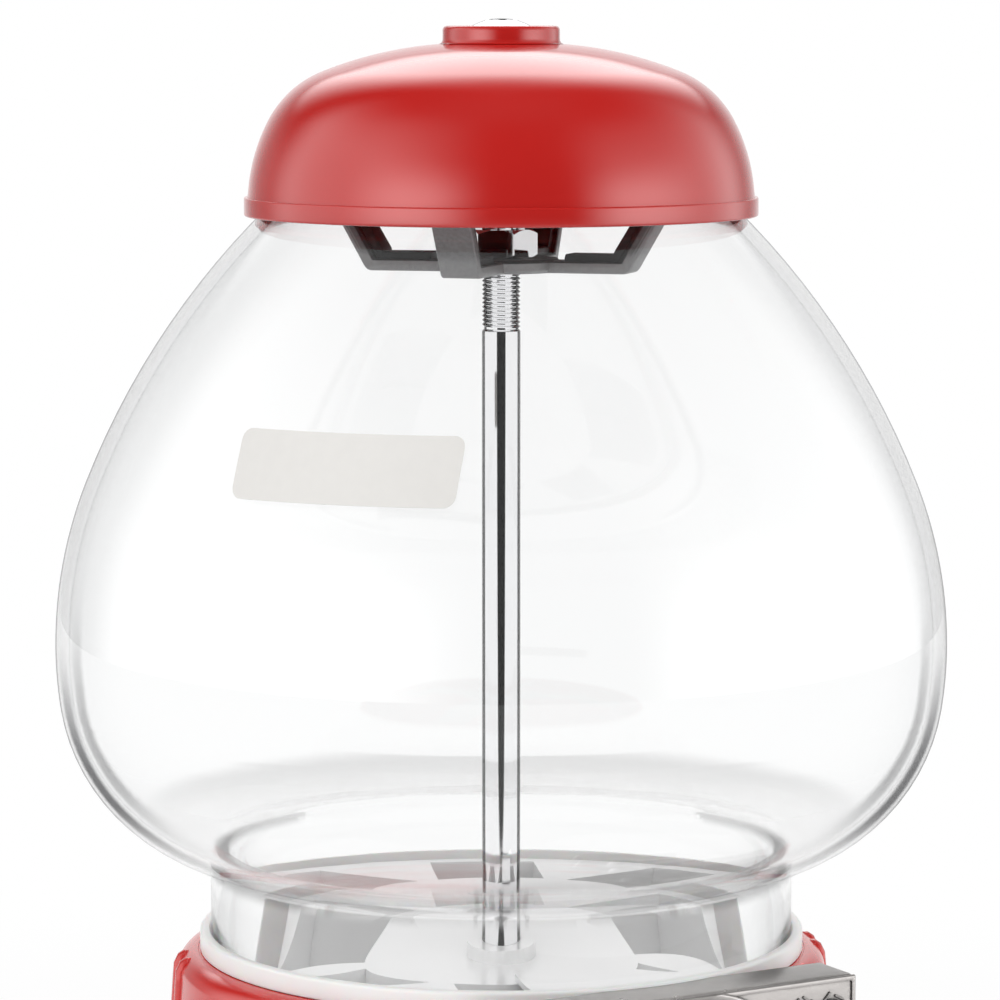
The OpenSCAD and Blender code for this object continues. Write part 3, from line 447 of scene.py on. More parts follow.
def new_group(name, **sockets):
    """An empty geometry group with the named inputs, and its tree."""
    group = bpy.data.node_groups.new(name, "GeometryNodeTree")
    for label, kind in sockets.items():
        group.interface.new_socket(label, in_out="INPUT", socket_type="NodeSocket" + kind)
    group.interface.new_socket("Result", in_out="OUTPUT", socket_type="NodeSocketGeometry")
    tree = Tree(group)
    source = group.nodes.new("NodeGroupInput")
    return group, tree, {label: Value(tree, source.outputs[label]) for label in sockets}


def close_group(tree, geometry, material):
    """Ends a group in real geometry that carries its finish."""
    real = tree.add("GeometryNodeRealizeInstances", None, {0: geometry})
    done = tree.add("GeometryNodeSetMaterial", None, {"Geometry": real, "Material": material})
    sink = tree.tree.nodes.new("NodeGroupOutput")
    tree.join(done, sink.inputs[0])


def turning_group():
    """Turns an outline round the upright axis."""
    group, tree, given = new_group("turned", Outline="Geometry", Steps="Int", Finish="Material")
    size = tree.add("GeometryNodeAttributeDomainSize", {"component": "MESH"}, {0: given["Outline"]})
    grid = tree.add("GeometryNodeMeshGrid", None, {"Size X": 1.0, "Size Y": 1.0, "Vertices X": size,
                                                   "Vertices Y": given["Steps"]})
    place = tree.add("GeometryNodeInputPosition")
    across, along, _ = tree.parts(place)
    row = tree.add("ShaderNodeMath", {"operation": "ROUND"}, {0: (across + 0.5) * (size - 1)})
    sampled = tree.add("GeometryNodeSampleIndex", {"data_type": "FLOAT_VECTOR", "domain": "POINT"},
                       {"Geometry": given["Outline"], "Value": place, "Index": row})
    radius, _, height = tree.parts(sampled)
    angle = (along + 0.5) * math.tau
    cosine = tree.add("ShaderNodeMath", {"operation": "COSINE"}, {0: angle})
    sine = tree.add("ShaderNodeMath", {"operation": "SINE"}, {0: angle})
    point = tree.vector(radius * cosine, radius * sine, height)
    moved = tree.add("GeometryNodeSetPosition", None, {"Geometry": grid, "Position": point})
    merged = tree.add("GeometryNodeMergeByDistance", None,
                      {"Geometry": moved, "Distance": 0.002 * MM})
    close_group(tree, merged, given["Finish"])
    return group


def ring_group():
    """Copies a shape round the upright axis."""
    group, tree, given = new_group("ring of copies", Shape="Geometry", Copies="Int", First="Float",
                                   Apart="Float", Finish="Material")
    line = tree.add("GeometryNodeMeshLine", None, {"Count": given["Copies"], "Offset": (0, 0, 0)})
    index = tree.add("GeometryNodeInputIndex")
    turn = tree.vector(0.0, 0.0, given["First"] + given["Apart"] * index)
    copies = tree.add("GeometryNodeInstanceOnPoints", None,
                      {"Points": line, "Instance": given["Shape"], "Rotation": turn})
    close_group(tree, copies, given["Finish"])
    return group


def helix_group():
    """Sweeps a small pointed ridge along a helix: a screw thread."""
    group, tree, given = new_group("thread", Start="Geometry", Radius="Float", Height="Float",
                                   Turns="Float", Ridge="Float", Finish="Material")
    helix = tree.add("GeometryNodeCurveSpiral", None,
                     {"Resolution": 36, "Rotations": given["Turns"], "Height": given["Height"],
                      "Start Radius": given["Radius"], "End Radius": given["Radius"],
                      "Reverse": False})
    upright = tree.add("GeometryNodeSetCurveNormal", {"mode": "Z_UP"}, {0: helix})
    ridge = tree.add("GeometryNodeCurvePrimitiveCircle", {"mode": "RADIUS"},
                     {"Resolution": 4, "Radius": given["Ridge"]})
    swept = tree.add("GeometryNodeCurveToMesh", None,
                     {"Curve": upright, "Profile Curve": ridge, "Fill Caps": True})
    close_group(tree, swept, given["Finish"])
    return group


def strewn_group():
    """Strews a shape over a flat front, each copy turned at random in that plane."""
    group, tree, given = new_group("strewn sticks", Ground="Geometry", Stick="Object",
                                   Spacing="Float", Density="Float", Seed="Int", Finish="Material")
    points = tree.add("GeometryNodeDistributePointsOnFaces", {"distribute_method": "POISSON"},
                      {"Mesh": given["Ground"], "Distance Min": given["Spacing"],
                       "Density Max": given["Density"], "Seed": given["Seed"]})
    stick = tree.add("GeometryNodeObjectInfo", None, {0: given["Stick"]}, "Geometry")
    spin, length = [
        tree.add("FunctionNodeRandomValue", {"data_type": "FLOAT"},
                 {2: least, 3: most, "Seed": given["Seed"]}, 1)
        for least, most in ((0.0, math.pi), (0.7, 1.25))]
    copies = tree.add("GeometryNodeInstanceOnPoints", None,
                      {"Points": points, "Instance": stick, "Rotation": tree.vector(0.0, spin, 0.0),
                       "Scale": tree.vector(length, 1.0, 1.0)})
    close_group(tree, copies, given["Finish"])
    return group


GROUPS = {}


def group(make):
    """A node group, made once."""
    if make not in GROUPS:
        GROUPS[make] = make()
    return GROUPS[make]


def turned(outline, material, steps=192, closed=True):
    """A piece turned round the upright axis from an outline of (radius, height)."""
    mesh = grown(thread_of(outline, closed), group(turning_group), Steps=steps + 1, Finish=material)
    return outward(mesh)


def cylinder(radius, bottom, top, steps=96):
    outline = [(0, bottom), (radius, bottom), (radius, top), (0, top)]
    return turned(outline, None, steps, closed=False)


def ringed(mesh, copies, first, apart, material):
    """Copies of a mesh round the upright axis, from a first heading, in degrees."""
    return grown(mesh, group(ring_group), Copies=copies, First=math.radians(first),
                 Apart=math.radians(apart), Finish=material)


def from_bmesh(shape, material=None):
    mesh = bpy.data.meshes.new("part")
    shape.to_mesh(mesh)
    shape.free()
    if material:
        mesh.materials.append(material)
    return mesh


def outward(mesh):
    """Turns a closed mesh's faces outwards."""
    shape = bmesh.new()
    shape.from_mesh(mesh)
    bmesh.ops.remove_doubles(shape, verts=shape.verts, dist=0.001 * MM)
    bmesh.ops.dissolve_degenerate(shape, edges=shape.edges, dist=0.0005 * MM)
    bmesh.ops.recalc_face_normals(shape, faces=shape.faces)
    if shape.calc_volume(signed=True) < 0:
        bmesh.ops.reverse_faces(shape, faces=shape.faces)
    shape.to_mesh(mesh)
    shape.free()
    return mesh


def round_off(shape, edges, bevel, steps):
    bmesh.ops.bevel(shape, geom=edges, offset=bevel * MM, segments=steps, profile=0.5,
                    affect="EDGES", clamp_overlap=True)


def solid_block(near, far, bevel=0.0, steps=3):
    """A block from one corner to another, with its edges rounded."""
    shape = bmesh.new()
    bmesh.ops.create_cube(shape, size=1.0)
    near, far = Vector(near) * MM, Vector(far) * MM
    for vertex in shape.verts:
        vertex.co = [a + (b - a) * (v + 0.5) for a, b, v in zip(near, far, vertex.co)]
    if bevel:
        round_off(shape, list(shape.edges), bevel, steps)
    return from_bmesh(shape)


def block(half, across, up, bevel=0.0, steps=3):
    """A block as wide to both sides, given by its half width, its y limits and its z limits."""
    return solid_block((-half, across[0], up[0]), (half, across[1], up[1]), bevel, steps)


def prism(outline, depth, bevel=0.0, steps=3):
    """An outline in XZ, given as (x, z), made a slab from y = 0 to y = depth."""
    shape = bmesh.new()
    face = shape.faces.new([shape.verts.new((x * MM, 0, z * MM)) for x, z in outline])
    made = bmesh.ops.extrude_face_region(shape, geom=[face])
    moved = [g for g in made["geom"] if isinstance(g, bmesh.types.BMVert)]
    bmesh.ops.translate(shape, verts=moved, vec=(0, depth * MM, 0))
    bmesh.ops.recalc_face_normals(shape, faces=shape.faces)
    if bevel:
        long = depth * MM / 2
        rim = [e for e in shape.edges if abs(e.verts[0].co.y - e.verts[1].co.y) < long]
        round_off(shape, rim, bevel, steps)
    return from_bmesh(shape)


def tube(rings):
    """A closed skin over rings of points, with both of its ends capped."""
    shape = bmesh.new()
    rings = [[shape.verts.new(Vector(point) * MM) for point in ring] for ring in rings]
    around = len(rings[0])
    for a, b in zip(rings, rings[1:]):
        for k in range(around):
            shape.faces.new((a[k], a[(k + 1) % around], b[(k + 1) % around], b[k]))
    for ring in (rings[0], rings[-1]):
        shape.faces.new(ring)
    return outward(from_bmesh(shape))


def eased(value, power):
    """A sine or cosine raised to a power, with its sign kept, which squares a circle off."""
    return math.copysign(abs(value) ** power, value)


def placed(mesh, matrix):
    """A mesh moved to its place."""
    mesh.transform(matrix)
    if matrix.determinant() < 0:
        mesh.flip_normals()
    return mesh


def shift(x, y, z):
    return Matrix.Translation(Vector((x, y, z)) * MM)


def facing(x, y, z):
    """Takes an upright piece to a place, turned so that its top faces the front."""
    return shift(x, y, z) @ Matrix.Rotation(math.radians(90), 4, "X")


def cut(mesh, tools):
    """A mesh less its cutting tools."""
    body = bpy.data.objects.new("body", mesh)
    bpy.context.scene.collection.objects.link(body)
    held = []
    for tool in tools:
        cutter = bpy.data.objects.new("cutter", tool)
        bpy.context.scene.collection.objects.link(cutter)
        modifier = body.modifiers.new("cut", "BOOLEAN")
        modifier.operation = "DIFFERENCE"
        modifier.solver = "EXACT"
        modifier.object = cutter
        held.append(cutter)
    graph = bpy.context.evaluated_depsgraph_get()
    result = bpy.data.meshes.new_from_object(body.evaluated_get(graph), depsgraph=graph)
    for thing in [body, *held]:
        bpy.data.objects.remove(thing)
    return result


def piece(name, meshes, body, material, replaces=(), sharp=32):
    """Joins meshes into one finished piece that rides on a body."""
    shape = bmesh.new()
    for mesh in meshes:
        shape.from_mesh(mesh)
    for face in shape.faces:
        face.material_index = 0
        face.smooth = True
    mesh = from_bmesh(shape, material)
    mesh.name = name
    mesh.set_sharp_from_angle(angle=math.radians(sharp))
    made = bpy.data.objects.new(name, mesh)
    bpy.context.scene.collection.objects.link(made)
    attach(made, body)
    if replaces:
        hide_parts(*replaces)
    return made


def paint(node, material):
    """Gives a CAD node a finish."""
    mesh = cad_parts[node].data
    mesh.materials.clear()
    mesh.materials.append(material)


# --- Sizes and colours ---------------------------------------------------------------


def length(name, description, default):
    """A setting that is shown as a length. Its default is in millimetres."""
    return FloatProperty(name=name, description=description, default=default * MM, unit="LENGTH",
                         min=0.0, precision=5)


def colour(name, description, default):
    return FloatVectorProperty(name=name, description=description, default=default,
                               subtype="COLOR", size=3, min=0.0, max=1.0)


class GUMBALL_PG_globe(bpy.types.PropertyGroup):
    """The glass globe and its label."""

    radius: length("Radius", "Widest radius of the glass", high("globe").x)
    wall: length("Wall", "Thickness of the glass", 3.2)
    neck: length("Neck", "Height of the straight neck", 20.97)
    label_width: length("Label width", "Width of the label along the glass", 56)
    label_height: length("Label height", "Height of the label", 15.5)


class GUMBALL_PG_lid(bpy.types.PropertyGroup):
    """The lid and its lock."""

    band: length("Band", "Height of the rim band", 4.6)
    wall: length("Wall", "Thickness of the sheet", 1.6)
    boss: length("Boss", "Radius of the boss on top", 14.33)


class GUMBALL_PG_clamp(bpy.types.PropertyGroup):
    """The centre rod and the spider."""

    thread: length("Thread", "Length of thread below the spider", 14)
    pitch: length("Pitch", "Pitch of the rod's thread", 1.058)
    arm: length("Arm", "Width of the spider's arms", 9.5)
    thick: length("Thickness", "Thickness of the spider's hub and arms", 3.3)


class GUMBALL_PG_front(bpy.types.PropertyGroup):
    """The front casting's ornament."""

    stick: length("Stick", "Length of a raised stick in the ground", 3.4)
    spacing: length("Spacing", "Least distance between sticks", 1.75)
    seed: IntProperty(name="Seed", description="Another seed strews the sticks anew", default=7)


class GUMBALL_PG_colours(bpy.types.PropertyGroup):
    """The colours of the finishes."""

    lid: colour("Lid", "Enamel of the lid", (0.52, 0.0125, 0.0095))
    # The base's red is set lighter than the lid's: painted light, for the stronger light on the
    # base.
    base: colour("Base", "Enamel of the base", (0.66, 0.020, 0.015))
    spider: colour("Spider", "Cast aluminium of the spider", (0.42, 0.42, 0.425))
    casting: colour("Casting", "Antiqued nickel of the front", (0.37, 0.352, 0.341))
    collar: colour("Collar", "Milky plastic of the collar", (0.97, 0.97, 0.955))
    label: colour("Label", "Film of the label", (0.74, 0.725, 0.70))


class GUMBALL_PG_stage(bpy.types.PropertyGroup):
    """The camera and the floor."""

    distance: length("Distance", "From the rod's axis to the camera", 1025)
    height: length("Height", "Height of the camera", 382)
    heading: FloatProperty(name="Heading", description="Where the camera stands round the machine",
                           default=math.radians(-30), subtype="ANGLE")
    tilt: FloatProperty(name="Tilt", description="How far the camera looks down",
                        default=math.radians(6.64), subtype="ANGLE")


def sizes(owner, *names):
    """A group's lengths in millimetres, in the order that they are named."""
    group = getattr(bpy.context.scene, "gumball_" + owner)
    return [getattr(group, name) / MM for name in names]


def colours():
    return bpy.context.scene.gumball_colours


# --- Globe and label -----------------------------------------------------------------

UPPER_ARCS = [(108.8, 21.8), (195.6, 47.6)]
LOWER_ARCS = [(98, -8.8), (46.6, -76.2), (-2.06, 0)]


def thinner(arcs, wall):
    return [(radius - wall, end) for radius, end in arcs]


def globe_shape():
    """The globe's widest radius, the height of its widest part, and its wall."""
    radius, wall, neck = sizes("globe", "radius", "wall", "neck")
    return radius, low("globe").z + neck - bends((0, 0), 0, LOWER_ARCS)[-1][1], wall


def glass_radius(z):
    """The glass's outer radius at a height above its widest part."""
    widest, middle, _ = globe_shape()
    radius, angle = UPPER_ARCS[1][0], math.radians(UPPER_ARCS[0][1])
    start = bends((widest, middle), 0, UPPER_ARCS[:1])[-1]
    here = math.asin(math.sin(angle) + (z - start[1]) / radius)
    return start[0] + radius * (math.cos(here) - math.cos(angle))


class GUMBALL_OT_globe(bpy.types.Operator):
    """Make the glass globe, with a fire-polished mouth and heel"""

    bl_idname = "gumball.globe"
    bl_label = "Glass globe"

    def execute(self, context):
        foot = low("globe").z
        outer, middle, wall = globe_shape()
        inner = outer - wall
        above = bends((outer, middle), 0, UPPER_ARCS)
        below = bends((outer, middle), 0, LOWER_ARCS)
        above_in = bends((inner, middle), 0, thinner(UPPER_ARCS, wall))
        below_in = bends((inner, middle), 0, thinner(LOWER_ARCS, wall))
        lip_out, lip_in = Vector(above[-1]), Vector(above_in[-1])
        across = (lip_in - lip_out) / 2
        middle_of_lip = (lip_out + lip_in) / 2
        rise = Vector((across.y, -across.x)) * 0.3
        lip = [middle_of_lip - across * math.cos(t) + rise * math.sin(t)
               for t in [math.radians(a) for a in range(15, 180, 15)]]
        heel_out, heel_in = below[-1][0], below_in[-1][0]
        arc, part = 0.9, 0.27
        heel = [(heel_out, foot + arc), (heel_out - part, foot + part), (heel_out - arc, foot),
                (heel_in + arc, foot), (heel_in + part, foot + part), (heel_in, foot + arc)]
        outline = (above[::-1] + below[1:] + heel + below_in[::-1] + above_in[1:]
                   + [tuple(p) for p in reversed(lip)])
        material = finish(clear_glass)
        mesh = turned(outline, material, 256)
        piece("globe_glass", [mesh], "base", material, ["globe"])
        return {"FINISHED"}


class GUMBALL_OT_label(bpy.types.Operator):
    """Lay the blank label on the glass, with its corners rounded"""

    bl_idname = "gumball.label"
    bl_label = "Blank label"

    def execute(self, context):
        wide, tall = sizes("globe", "label_width", "label_height")
        heading, corner, lift, thick = math.radians(-52), 2.6, 0.06, 0.14
        foot = low("label").z
        rows, columns = 20, 36
        shape = bmesh.new()
        grid = []
        for i in range(rows + 1):
            height = tall * (0.5 - 0.5 * math.cos(math.pi * i / rows))
            nearest = min(height, tall - height)
            inset = corner - math.sqrt(max(0, corner**2 - max(0, corner - nearest) ** 2))
            radius = glass_radius(foot + height) + lift
            half = wide / 2 - inset
            turns = [heading + half * (2 * k / columns - 1) / radius for k in range(columns + 1)]
            points = [Vector((radius * math.sin(t), -radius * math.cos(t), foot + height))
                      for t in turns]
            grid.append([shape.verts.new(point * MM) for point in points])
        for a, b in zip(grid, grid[1:]):
            for k in range(columns):
                shape.faces.new((a[k], a[k + 1], b[k + 1], b[k]))
        bmesh.ops.recalc_face_normals(shape, faces=shape.faces)
        if shape.faces[0].normal.dot(Vector((math.sin(heading), -math.cos(heading), 0))) < 0:
            bmesh.ops.reverse_faces(shape, faces=shape.faces)
        bmesh.ops.solidify(shape, geom=list(shape.faces), thickness=thick * MM)
        material = finish("label film")
        piece("label_film", [from_bmesh(shape)], "base", material, ["label"])
        return {"FINISHED"}


# --- Lid and lock --------------------------------------------------------------------

SPIDER_HEADING = 43
LID_ANGLE = 2.77
LID_ARCS = [(44.7, 27.7), (25.65, 68.2), (96.7, 86.0)]
BARREL_R = 8.3
SLEEVE_R = 10.05


class GUMBALL_OT_lid(bpy.types.Operator):
    """Spin the domed lid, with its rim band and boss"""

    bl_idname = "gumball.lid"
    bl_label = "Lid"

    def execute(self, context):
        band, wall, boss = sizes("lid", "band", "wall", "boss")
        foot, band_r = low("lid").z, high("lid").x
        side = band_r - 0.95
        inside = side - 2.2
        band_top = foot + band
        line = bends((side, band_top), LID_ANGLE, LID_ARCS)
        start = math.radians(LID_ANGLE)
        inner_start = (side - wall * math.cos(start), band_top - wall * math.sin(start))
        under = bends(inner_start, LID_ANGLE, thinner(LID_ARCS, wall))
        crown, top = line[-1][1], high("lid").z
        flange = under[-1][1] - wall
        rim = rounded([(inside, foot), (band_r, foot), (band_r, band_top), (side + 0.1, band_top)],
                      [0.3, 0.55, 0.5, 0.0])
        hole = SLEEVE_R + 0.06
        crest = [(boss + out, crown + up) for out, up in
                 ((0.9, 0.06), (0.35, 0.25), (0.08, 0.7), (0, 1.3))]
        crest += [(boss - within, top - down) for within, down in
                  ((0, 1.1), (0.1, 0.62), (0.38, 0.25), (0.85, 0.05), (1.5, 0))]
        crest += [(SLEEVE_R + 0.5, top), (hole, top - 0.35), (hole, flange), (boss + 1, flange)]
        outline = rim + line[1:] + crest + under[::-1] + [(inside, band_top - 0.5)]
        material = finish("lid enamel")
        piece("lid_dome", [turned(outline, material, 256)], "lid", material, ["lid"])
        paint("lock_sleeve", finish("bright zinc"))
        paint("lock_nut", finish("turned brass"))
        return {"FINISHED"}


class GUMBALL_OT_lock(bpy.types.Operator):
    """Make the lock's domed face, with its round keyway"""

    bl_idname = "gumball.lock"
    bl_label = "Lock"

    def execute(self, context):
        foot, top = low("lock_barrel").z, high("lock_barrel").z
        edge = top - 2.3
        key_out, key_in, rod = 4.2, 3.0, 4.81
        bore_top = high("centre_rod").z + 0.3

        def dome(r):
            return edge + (top - edge) * (1 - (r / BARREL_R) ** 2)

        outline = [(rod, foot), (BARREL_R, foot), (BARREL_R, edge - 0.2),
                   (BARREL_R - 0.25, edge + 0.12)]
        outline += [(r, dome(r)) for r in (7.4, 6.6, 5.8, 5.0)]
        outline += [(key_out + 0.15, dome(key_out)), (key_out, dome(key_out) - 0.2),
                    (key_out, edge - 2.4), (key_in, edge - 2.4), (key_in, dome(key_in) - 0.2),
                    (key_in - 0.15, dome(key_in))]
        outline += [(2, dome(2)), (1, dome(1)), (0, top), (0, bore_top), (rod, bore_top)]
        material = finish(chrome)
        face = turned(outline, material, 96)
        notch = solid_block((key_out - 1.6, -0.8, edge - 1), (6.4, 0.8, top + 1))
        piece("lock_face", [cut(face, [notch])], "lock", material, ["lock_barrel"])
        return {"FINISHED"}


# --- Rod, nut and spider -------------------------------------------------------------


class GUMBALL_OT_rod(bpy.types.Operator):
    """Turn the centre rod and cut its thread"""

    bl_idname = "gumball.rod"
    bl_label = "Centre rod"

    def execute(self, context):
        thread, pitch = sizes("clamp", "thread", "pitch")
        foot, top, radius = low("centre_rod").z, high("centre_rod").z, high("centre_rod").x
        depth = 0.52
        root = radius - depth
        threaded = low("clamp_spider").z - thread
        chamfer = 0.8
        outline = [(0, foot), (radius - chamfer, foot), (radius, foot + chamfer),
                   (radius, threaded - depth), (root, threaded), (root, top - chamfer),
                   (root - chamfer, top), (0, top)]
        material = finish(rod_chrome)
        core = turned(outline, material, 96, closed=False)
        turns = (top - 2 - threaded) / pitch
        ridge = grown(bpy.data.meshes.new("start"), group(helix_group), Radius=(root + 0.08) * MM,
                      Height=turns * pitch * MM, Turns=turns, Ridge=0.44 * MM, Finish=material)
        placed(outward(ridge), shift(0, 0, threaded + 0.5))
        piece("centre_rod_plated", [core, ridge], "base", material, ["centre_rod"])
        return {"FINISHED"}


class GUMBALL_OT_clamp(bpy.types.Operator):
    """Cast the four-armed spider and set its hex nut"""

    bl_idname = "gumball.clamp"
    bl_label = "Spider and nut"

    def execute(self, context):
        width, thick = sizes("clamp", "arm", "thick")
        near, far = box("clamp_spider")
        foot, pad_z, pad_top = near.z, far.z - 3, far.z
        hub, bore = 14.5, 4.97
        reach, rise, inset = 32, 1.4, 1.2
        mouth, strut, skin = 50.34, 4.6, 2.9
        slope = mouth - 4.8 - strut
        pad_out = 54.5
        # the outer skin runs along the arm and up the strut, as wide as the arm
        inner_foot = slope + strut
        skin_line = [(hub - 3, foot), (reach + 1.4, foot), (inner_foot, pad_z), (pad_out, pad_z),
                     (pad_out, pad_top), (inner_foot - skin, pad_top), (reach - 1.2, foot + skin),
                     (hub - 3, foot + skin)]
        skin_radii = [0, 1.4, 0.6, 0.5, 0.5, 0.8, 0.8, 0]
        bar = prism(rounded(skin_line, skin_radii), width, 0.45)
        # a narrower web fills the strut's inside, and a rib stands on the arm
        web_line = [(reach - 2, foot + skin - 0.4), (reach + 0.6, foot + skin - 0.4),
                    (slope + strut - skin + 0.6, pad_top - 0.2), (slope, pad_top - 0.2),
                    (reach - 2.8, foot + thick + rise)]
        web = prism(rounded(web_line, [0, 0, 0.3, 0.5, 1.2]), width - 2 * inset, 0.35)
        rib_line = [(hub + 2.4, foot + skin - 0.4), (reach - 1, foot + skin - 0.4),
                    (reach - 1.6, foot + thick + rise), (hub + 2.8, foot + thick + rise)]
        rib = prism(rounded(rib_line, [0, 0, 0.3, 0.6]), width - 2 * inset, 0.35)
        shape = bmesh.new()
        for mesh, across in ((bar, width), (web, width - 2 * inset), (rib, width - 2 * inset)):
            shape.from_mesh(placed(mesh, shift(0, -across / 2, 0)))
        arm = from_bmesh(shape)
        material = finish(cast_aluminium)
        arms = ringed(arm, 4, SPIDER_HEADING - 90, 90, material)
        edge = 0.7
        ceiling = foot + thick
        disc = turned([(bore, foot), (hub - edge, foot), (hub, foot + edge), (hub, ceiling - edge),
                       (hub - edge, ceiling), (bore, ceiling)], material, 96)
        piece("spider_casting", [disc, arms], "base", material, ["clamp_spider"])
        paint("clamp_nut", finish(chrome))
        return {"FINISHED"}


# --- Collar, wheel and hopper --------------------------------------------------------


class GUMBALL_OT_collar(bpy.types.Operator):
    """Mould the milky collar that the globe stands in"""

    bl_idname = "gumball.collar"
    bl_label = "Collar"

    def execute(self, context):
        near, far = box("globe_collar")
        seat, foot, top = low("globe").z, near.z, far.z
        neck, out = 72.342, far.x
        inside, leg = neck - 4.1, out - 1.1
        over = high("base_body").z + 0.15
        outline = rounded(
            [(inside, foot), (leg, foot), (leg, over), (out, over), (out, top),
             (neck + 0.3, top - 0.2), (neck + 0.3, seat), (inside, seat)],
            [0.2, 0.2, 0, 0.25, 1.1, 0.4, 0, 0.3], 6)
        material = finish("milky plastic")
        piece("collar_ring", [turned(outline, material)], "base", material,
              ["globe_collar"])
        return {"FINISHED"}


class GUMBALL_OT_hopper(bpy.types.Operator):
    """Finish the dispensing wheel, the pan under it and what carries them"""

    bl_idname = "gumball.hopper"
    bl_label = "Wheel and hopper"

    def execute(self, context):
        paint("dispensing_wheel", finish(spun_metal))
        paint("wheel_bush", finish(spun_metal))
        paint("hopper_pan", finish(spun_metal))
        paint("outlet_guard", finish(spun_metal))
        paint("pan_screws", finish("bright zinc"))
        paint("pan_nut", finish("bright zinc"))
        paint("thrust_washer", finish("natural nylon"))
        return {"FINISHED"}


# --- Base ----------------------------------------------------------------------------


class Base:
    """The base's sizes, which its shell, its ridges and the casting share."""

    lip_top = high("base_body").z
    foot_z = low("base_body").z
    lip_out = 75.642
    lip_in = 74.342
    side = 80.742
    shoulder = 5
    slope = 3.75
    foot_h = 20
    wall = 3
    ridge_out = 1.2
    side_z = lip_top - shoulder
    foot_side = side + (side_z - foot_h) * math.tan(math.radians(slope))
    foot_r = foot_side + 10

    @classmethod
    def outside(cls, grow=0.0):
        """The outside line from the foot to the lip, grown by a clearance."""
        points = [(cls.foot_r + grow - 2.2, cls.foot_z - grow)]
        points += [(cls.foot_r + grow - within, cls.foot_z + up) for within, up in
                   ((0.9, 0.25), (0.2, 0.95), (0, 2), (0, 6.2), (0.25, 7.3), (1, 8.2))]
        steps, cove_r, cove_h = 14, 8, 13
        for i in range(1, steps + 1):
            t = math.radians(90 * i / steps)
            points.append((cls.foot_side + grow + cove_r * (1 - math.sin(t)),
                           cls.foot_h + 3 - cove_h * math.cos(t)))
        for i in range(steps + 1):
            t = math.radians(cls.slope + (90 - cls.slope) * i / steps)
            points.append((cls.lip_out + (cls.side - cls.lip_out + grow) * math.cos(t),
                           cls.side_z + (cls.shoulder + grow) * math.sin(t)))
        return points


def base_ridge():
    """A rounded ridge that climbs the base's side and over its shoulder, drawn for the front."""
    half, rows, around, sunk, end = 2.4, 34, 16, 0.5, math.radians(66)
    start, slope = Base.foot_h - 2, math.radians(Base.slope)
    side = Base.side_z - start
    whole = side + (end - slope) * Base.shoulder
    rings = []
    for i in range(1, rows):
        along = whole * (1 - math.cos(math.pi * i / rows)) / 2
        tilt = slope + max(0.0, along - side) / Base.shoulder
        radius = (Base.lip_out + (Base.side - Base.lip_out) * math.cos(tilt)
                  + max(0.0, side - along) * math.tan(slope))
        z = start + along if along < side else Base.side_z + Base.shoulder * math.sin(tilt)
        tip = min(1.0, (whole - along) / (1.2 * half), along / half)
        cap = math.sqrt(max(0.0, 1 - (1 - tip) ** 2))
        ring = []
        for k in range(around):
            angle = math.tau * k / around
            out = (Base.ridge_out + sunk) * eased(math.sin(angle), 0.8) * cap - sunk
            ring.append((half * cap * math.cos(angle), -(radius + out * math.cos(tilt)),
                         z + out * math.sin(tilt)))
        rings.append(ring)
    return tube(rings)


class GUMBALL_OT_base(bpy.types.Operator):
    """Cast the enamelled base, with paired ridges round its side"""

    bl_idname = "gumball.base"
    bl_label = "Base"

    def execute(self, context):
        material = finish("base enamel")
        shelf, shelf_r = low("globe_collar").z, 72.042
        ledge, pan_z = 66.642, low("hopper_pan").z
        under = shelf - 3.2
        seat = Base.foot_side - 1.2
        plate = low("bottom_plate").z + 1.5
        inside = Base.side - Base.wall
        lip = rounded([(Base.lip_out, Base.lip_top), (Base.lip_in, Base.lip_top),
                       (Base.lip_in, shelf), (shelf_r, shelf), (shelf_r, under),
                       (inside, under - 4)], [0.3, 0.4, 0, 0.2, 0.2, 0])
        hollow = [(inside, pan_z), (ledge, pan_z), (ledge, pan_z - 3),
                  (inside + 1.6, pan_z - 3), (Base.foot_side - Base.wall, Base.foot_h + 3),
                  (seat - 5, plate + 3), (seat - 5, plate), (seat, plate),
                  (seat + 1, Base.foot_z + 8), (Base.foot_r - 4, Base.foot_z + 4),
                  (Base.foot_r - 4, Base.foot_z)]
        shell = turned(Base.outside() + lip + hollow, material, 256)
        half = high("front_casting").x - 7
        shell = cut(shell, [block(half, (-110, -40), (27, under))])
        ridges = [ringed(base_ridge(), 6, 67.5 + side, 45, material) for side in (-3.25, 3.25)]
        piece("base_shell", [shell, *ridges], "base", material, ["base_body"])
        return {"FINISHED"}


class GUMBALL_OT_underside(bpy.types.Operator):
    """Mould the rubber feet and finish the plate, the washer and the nut under the base"""

    bl_idname = "gumball.underside"
    bl_label = "Underside"

    def execute(self, context):
        material = finish(rubber)
        radius, top, out = 6.5, 3, Base.foot_r - 11.5
        peg = 2.5
        outline = [(0, 0), (radius - 1.5, 0), (radius - 0.6, 0.25), (radius - 0.35, 0.9),
                   (radius, top - 0.5), (radius - 0.2, top), (peg, top), (peg, 8), (0, 8)]
        foot = turned(outline, material, 48, closed=False)
        foot = placed(foot, shift(0, -out, 0))
        feet = ringed(foot, 4, 45, 90, material)
        piece("feet", [feet], "base", material, ["rubber_feet"])
        paint("bottom_plate", finish(galvanised))
        paint("base_washer", finish("bright zinc"))
        paint("base_nut", finish("bright zinc"))
        return {"FINISHED"}


# --- Front casting -------------------------------------------------------------------


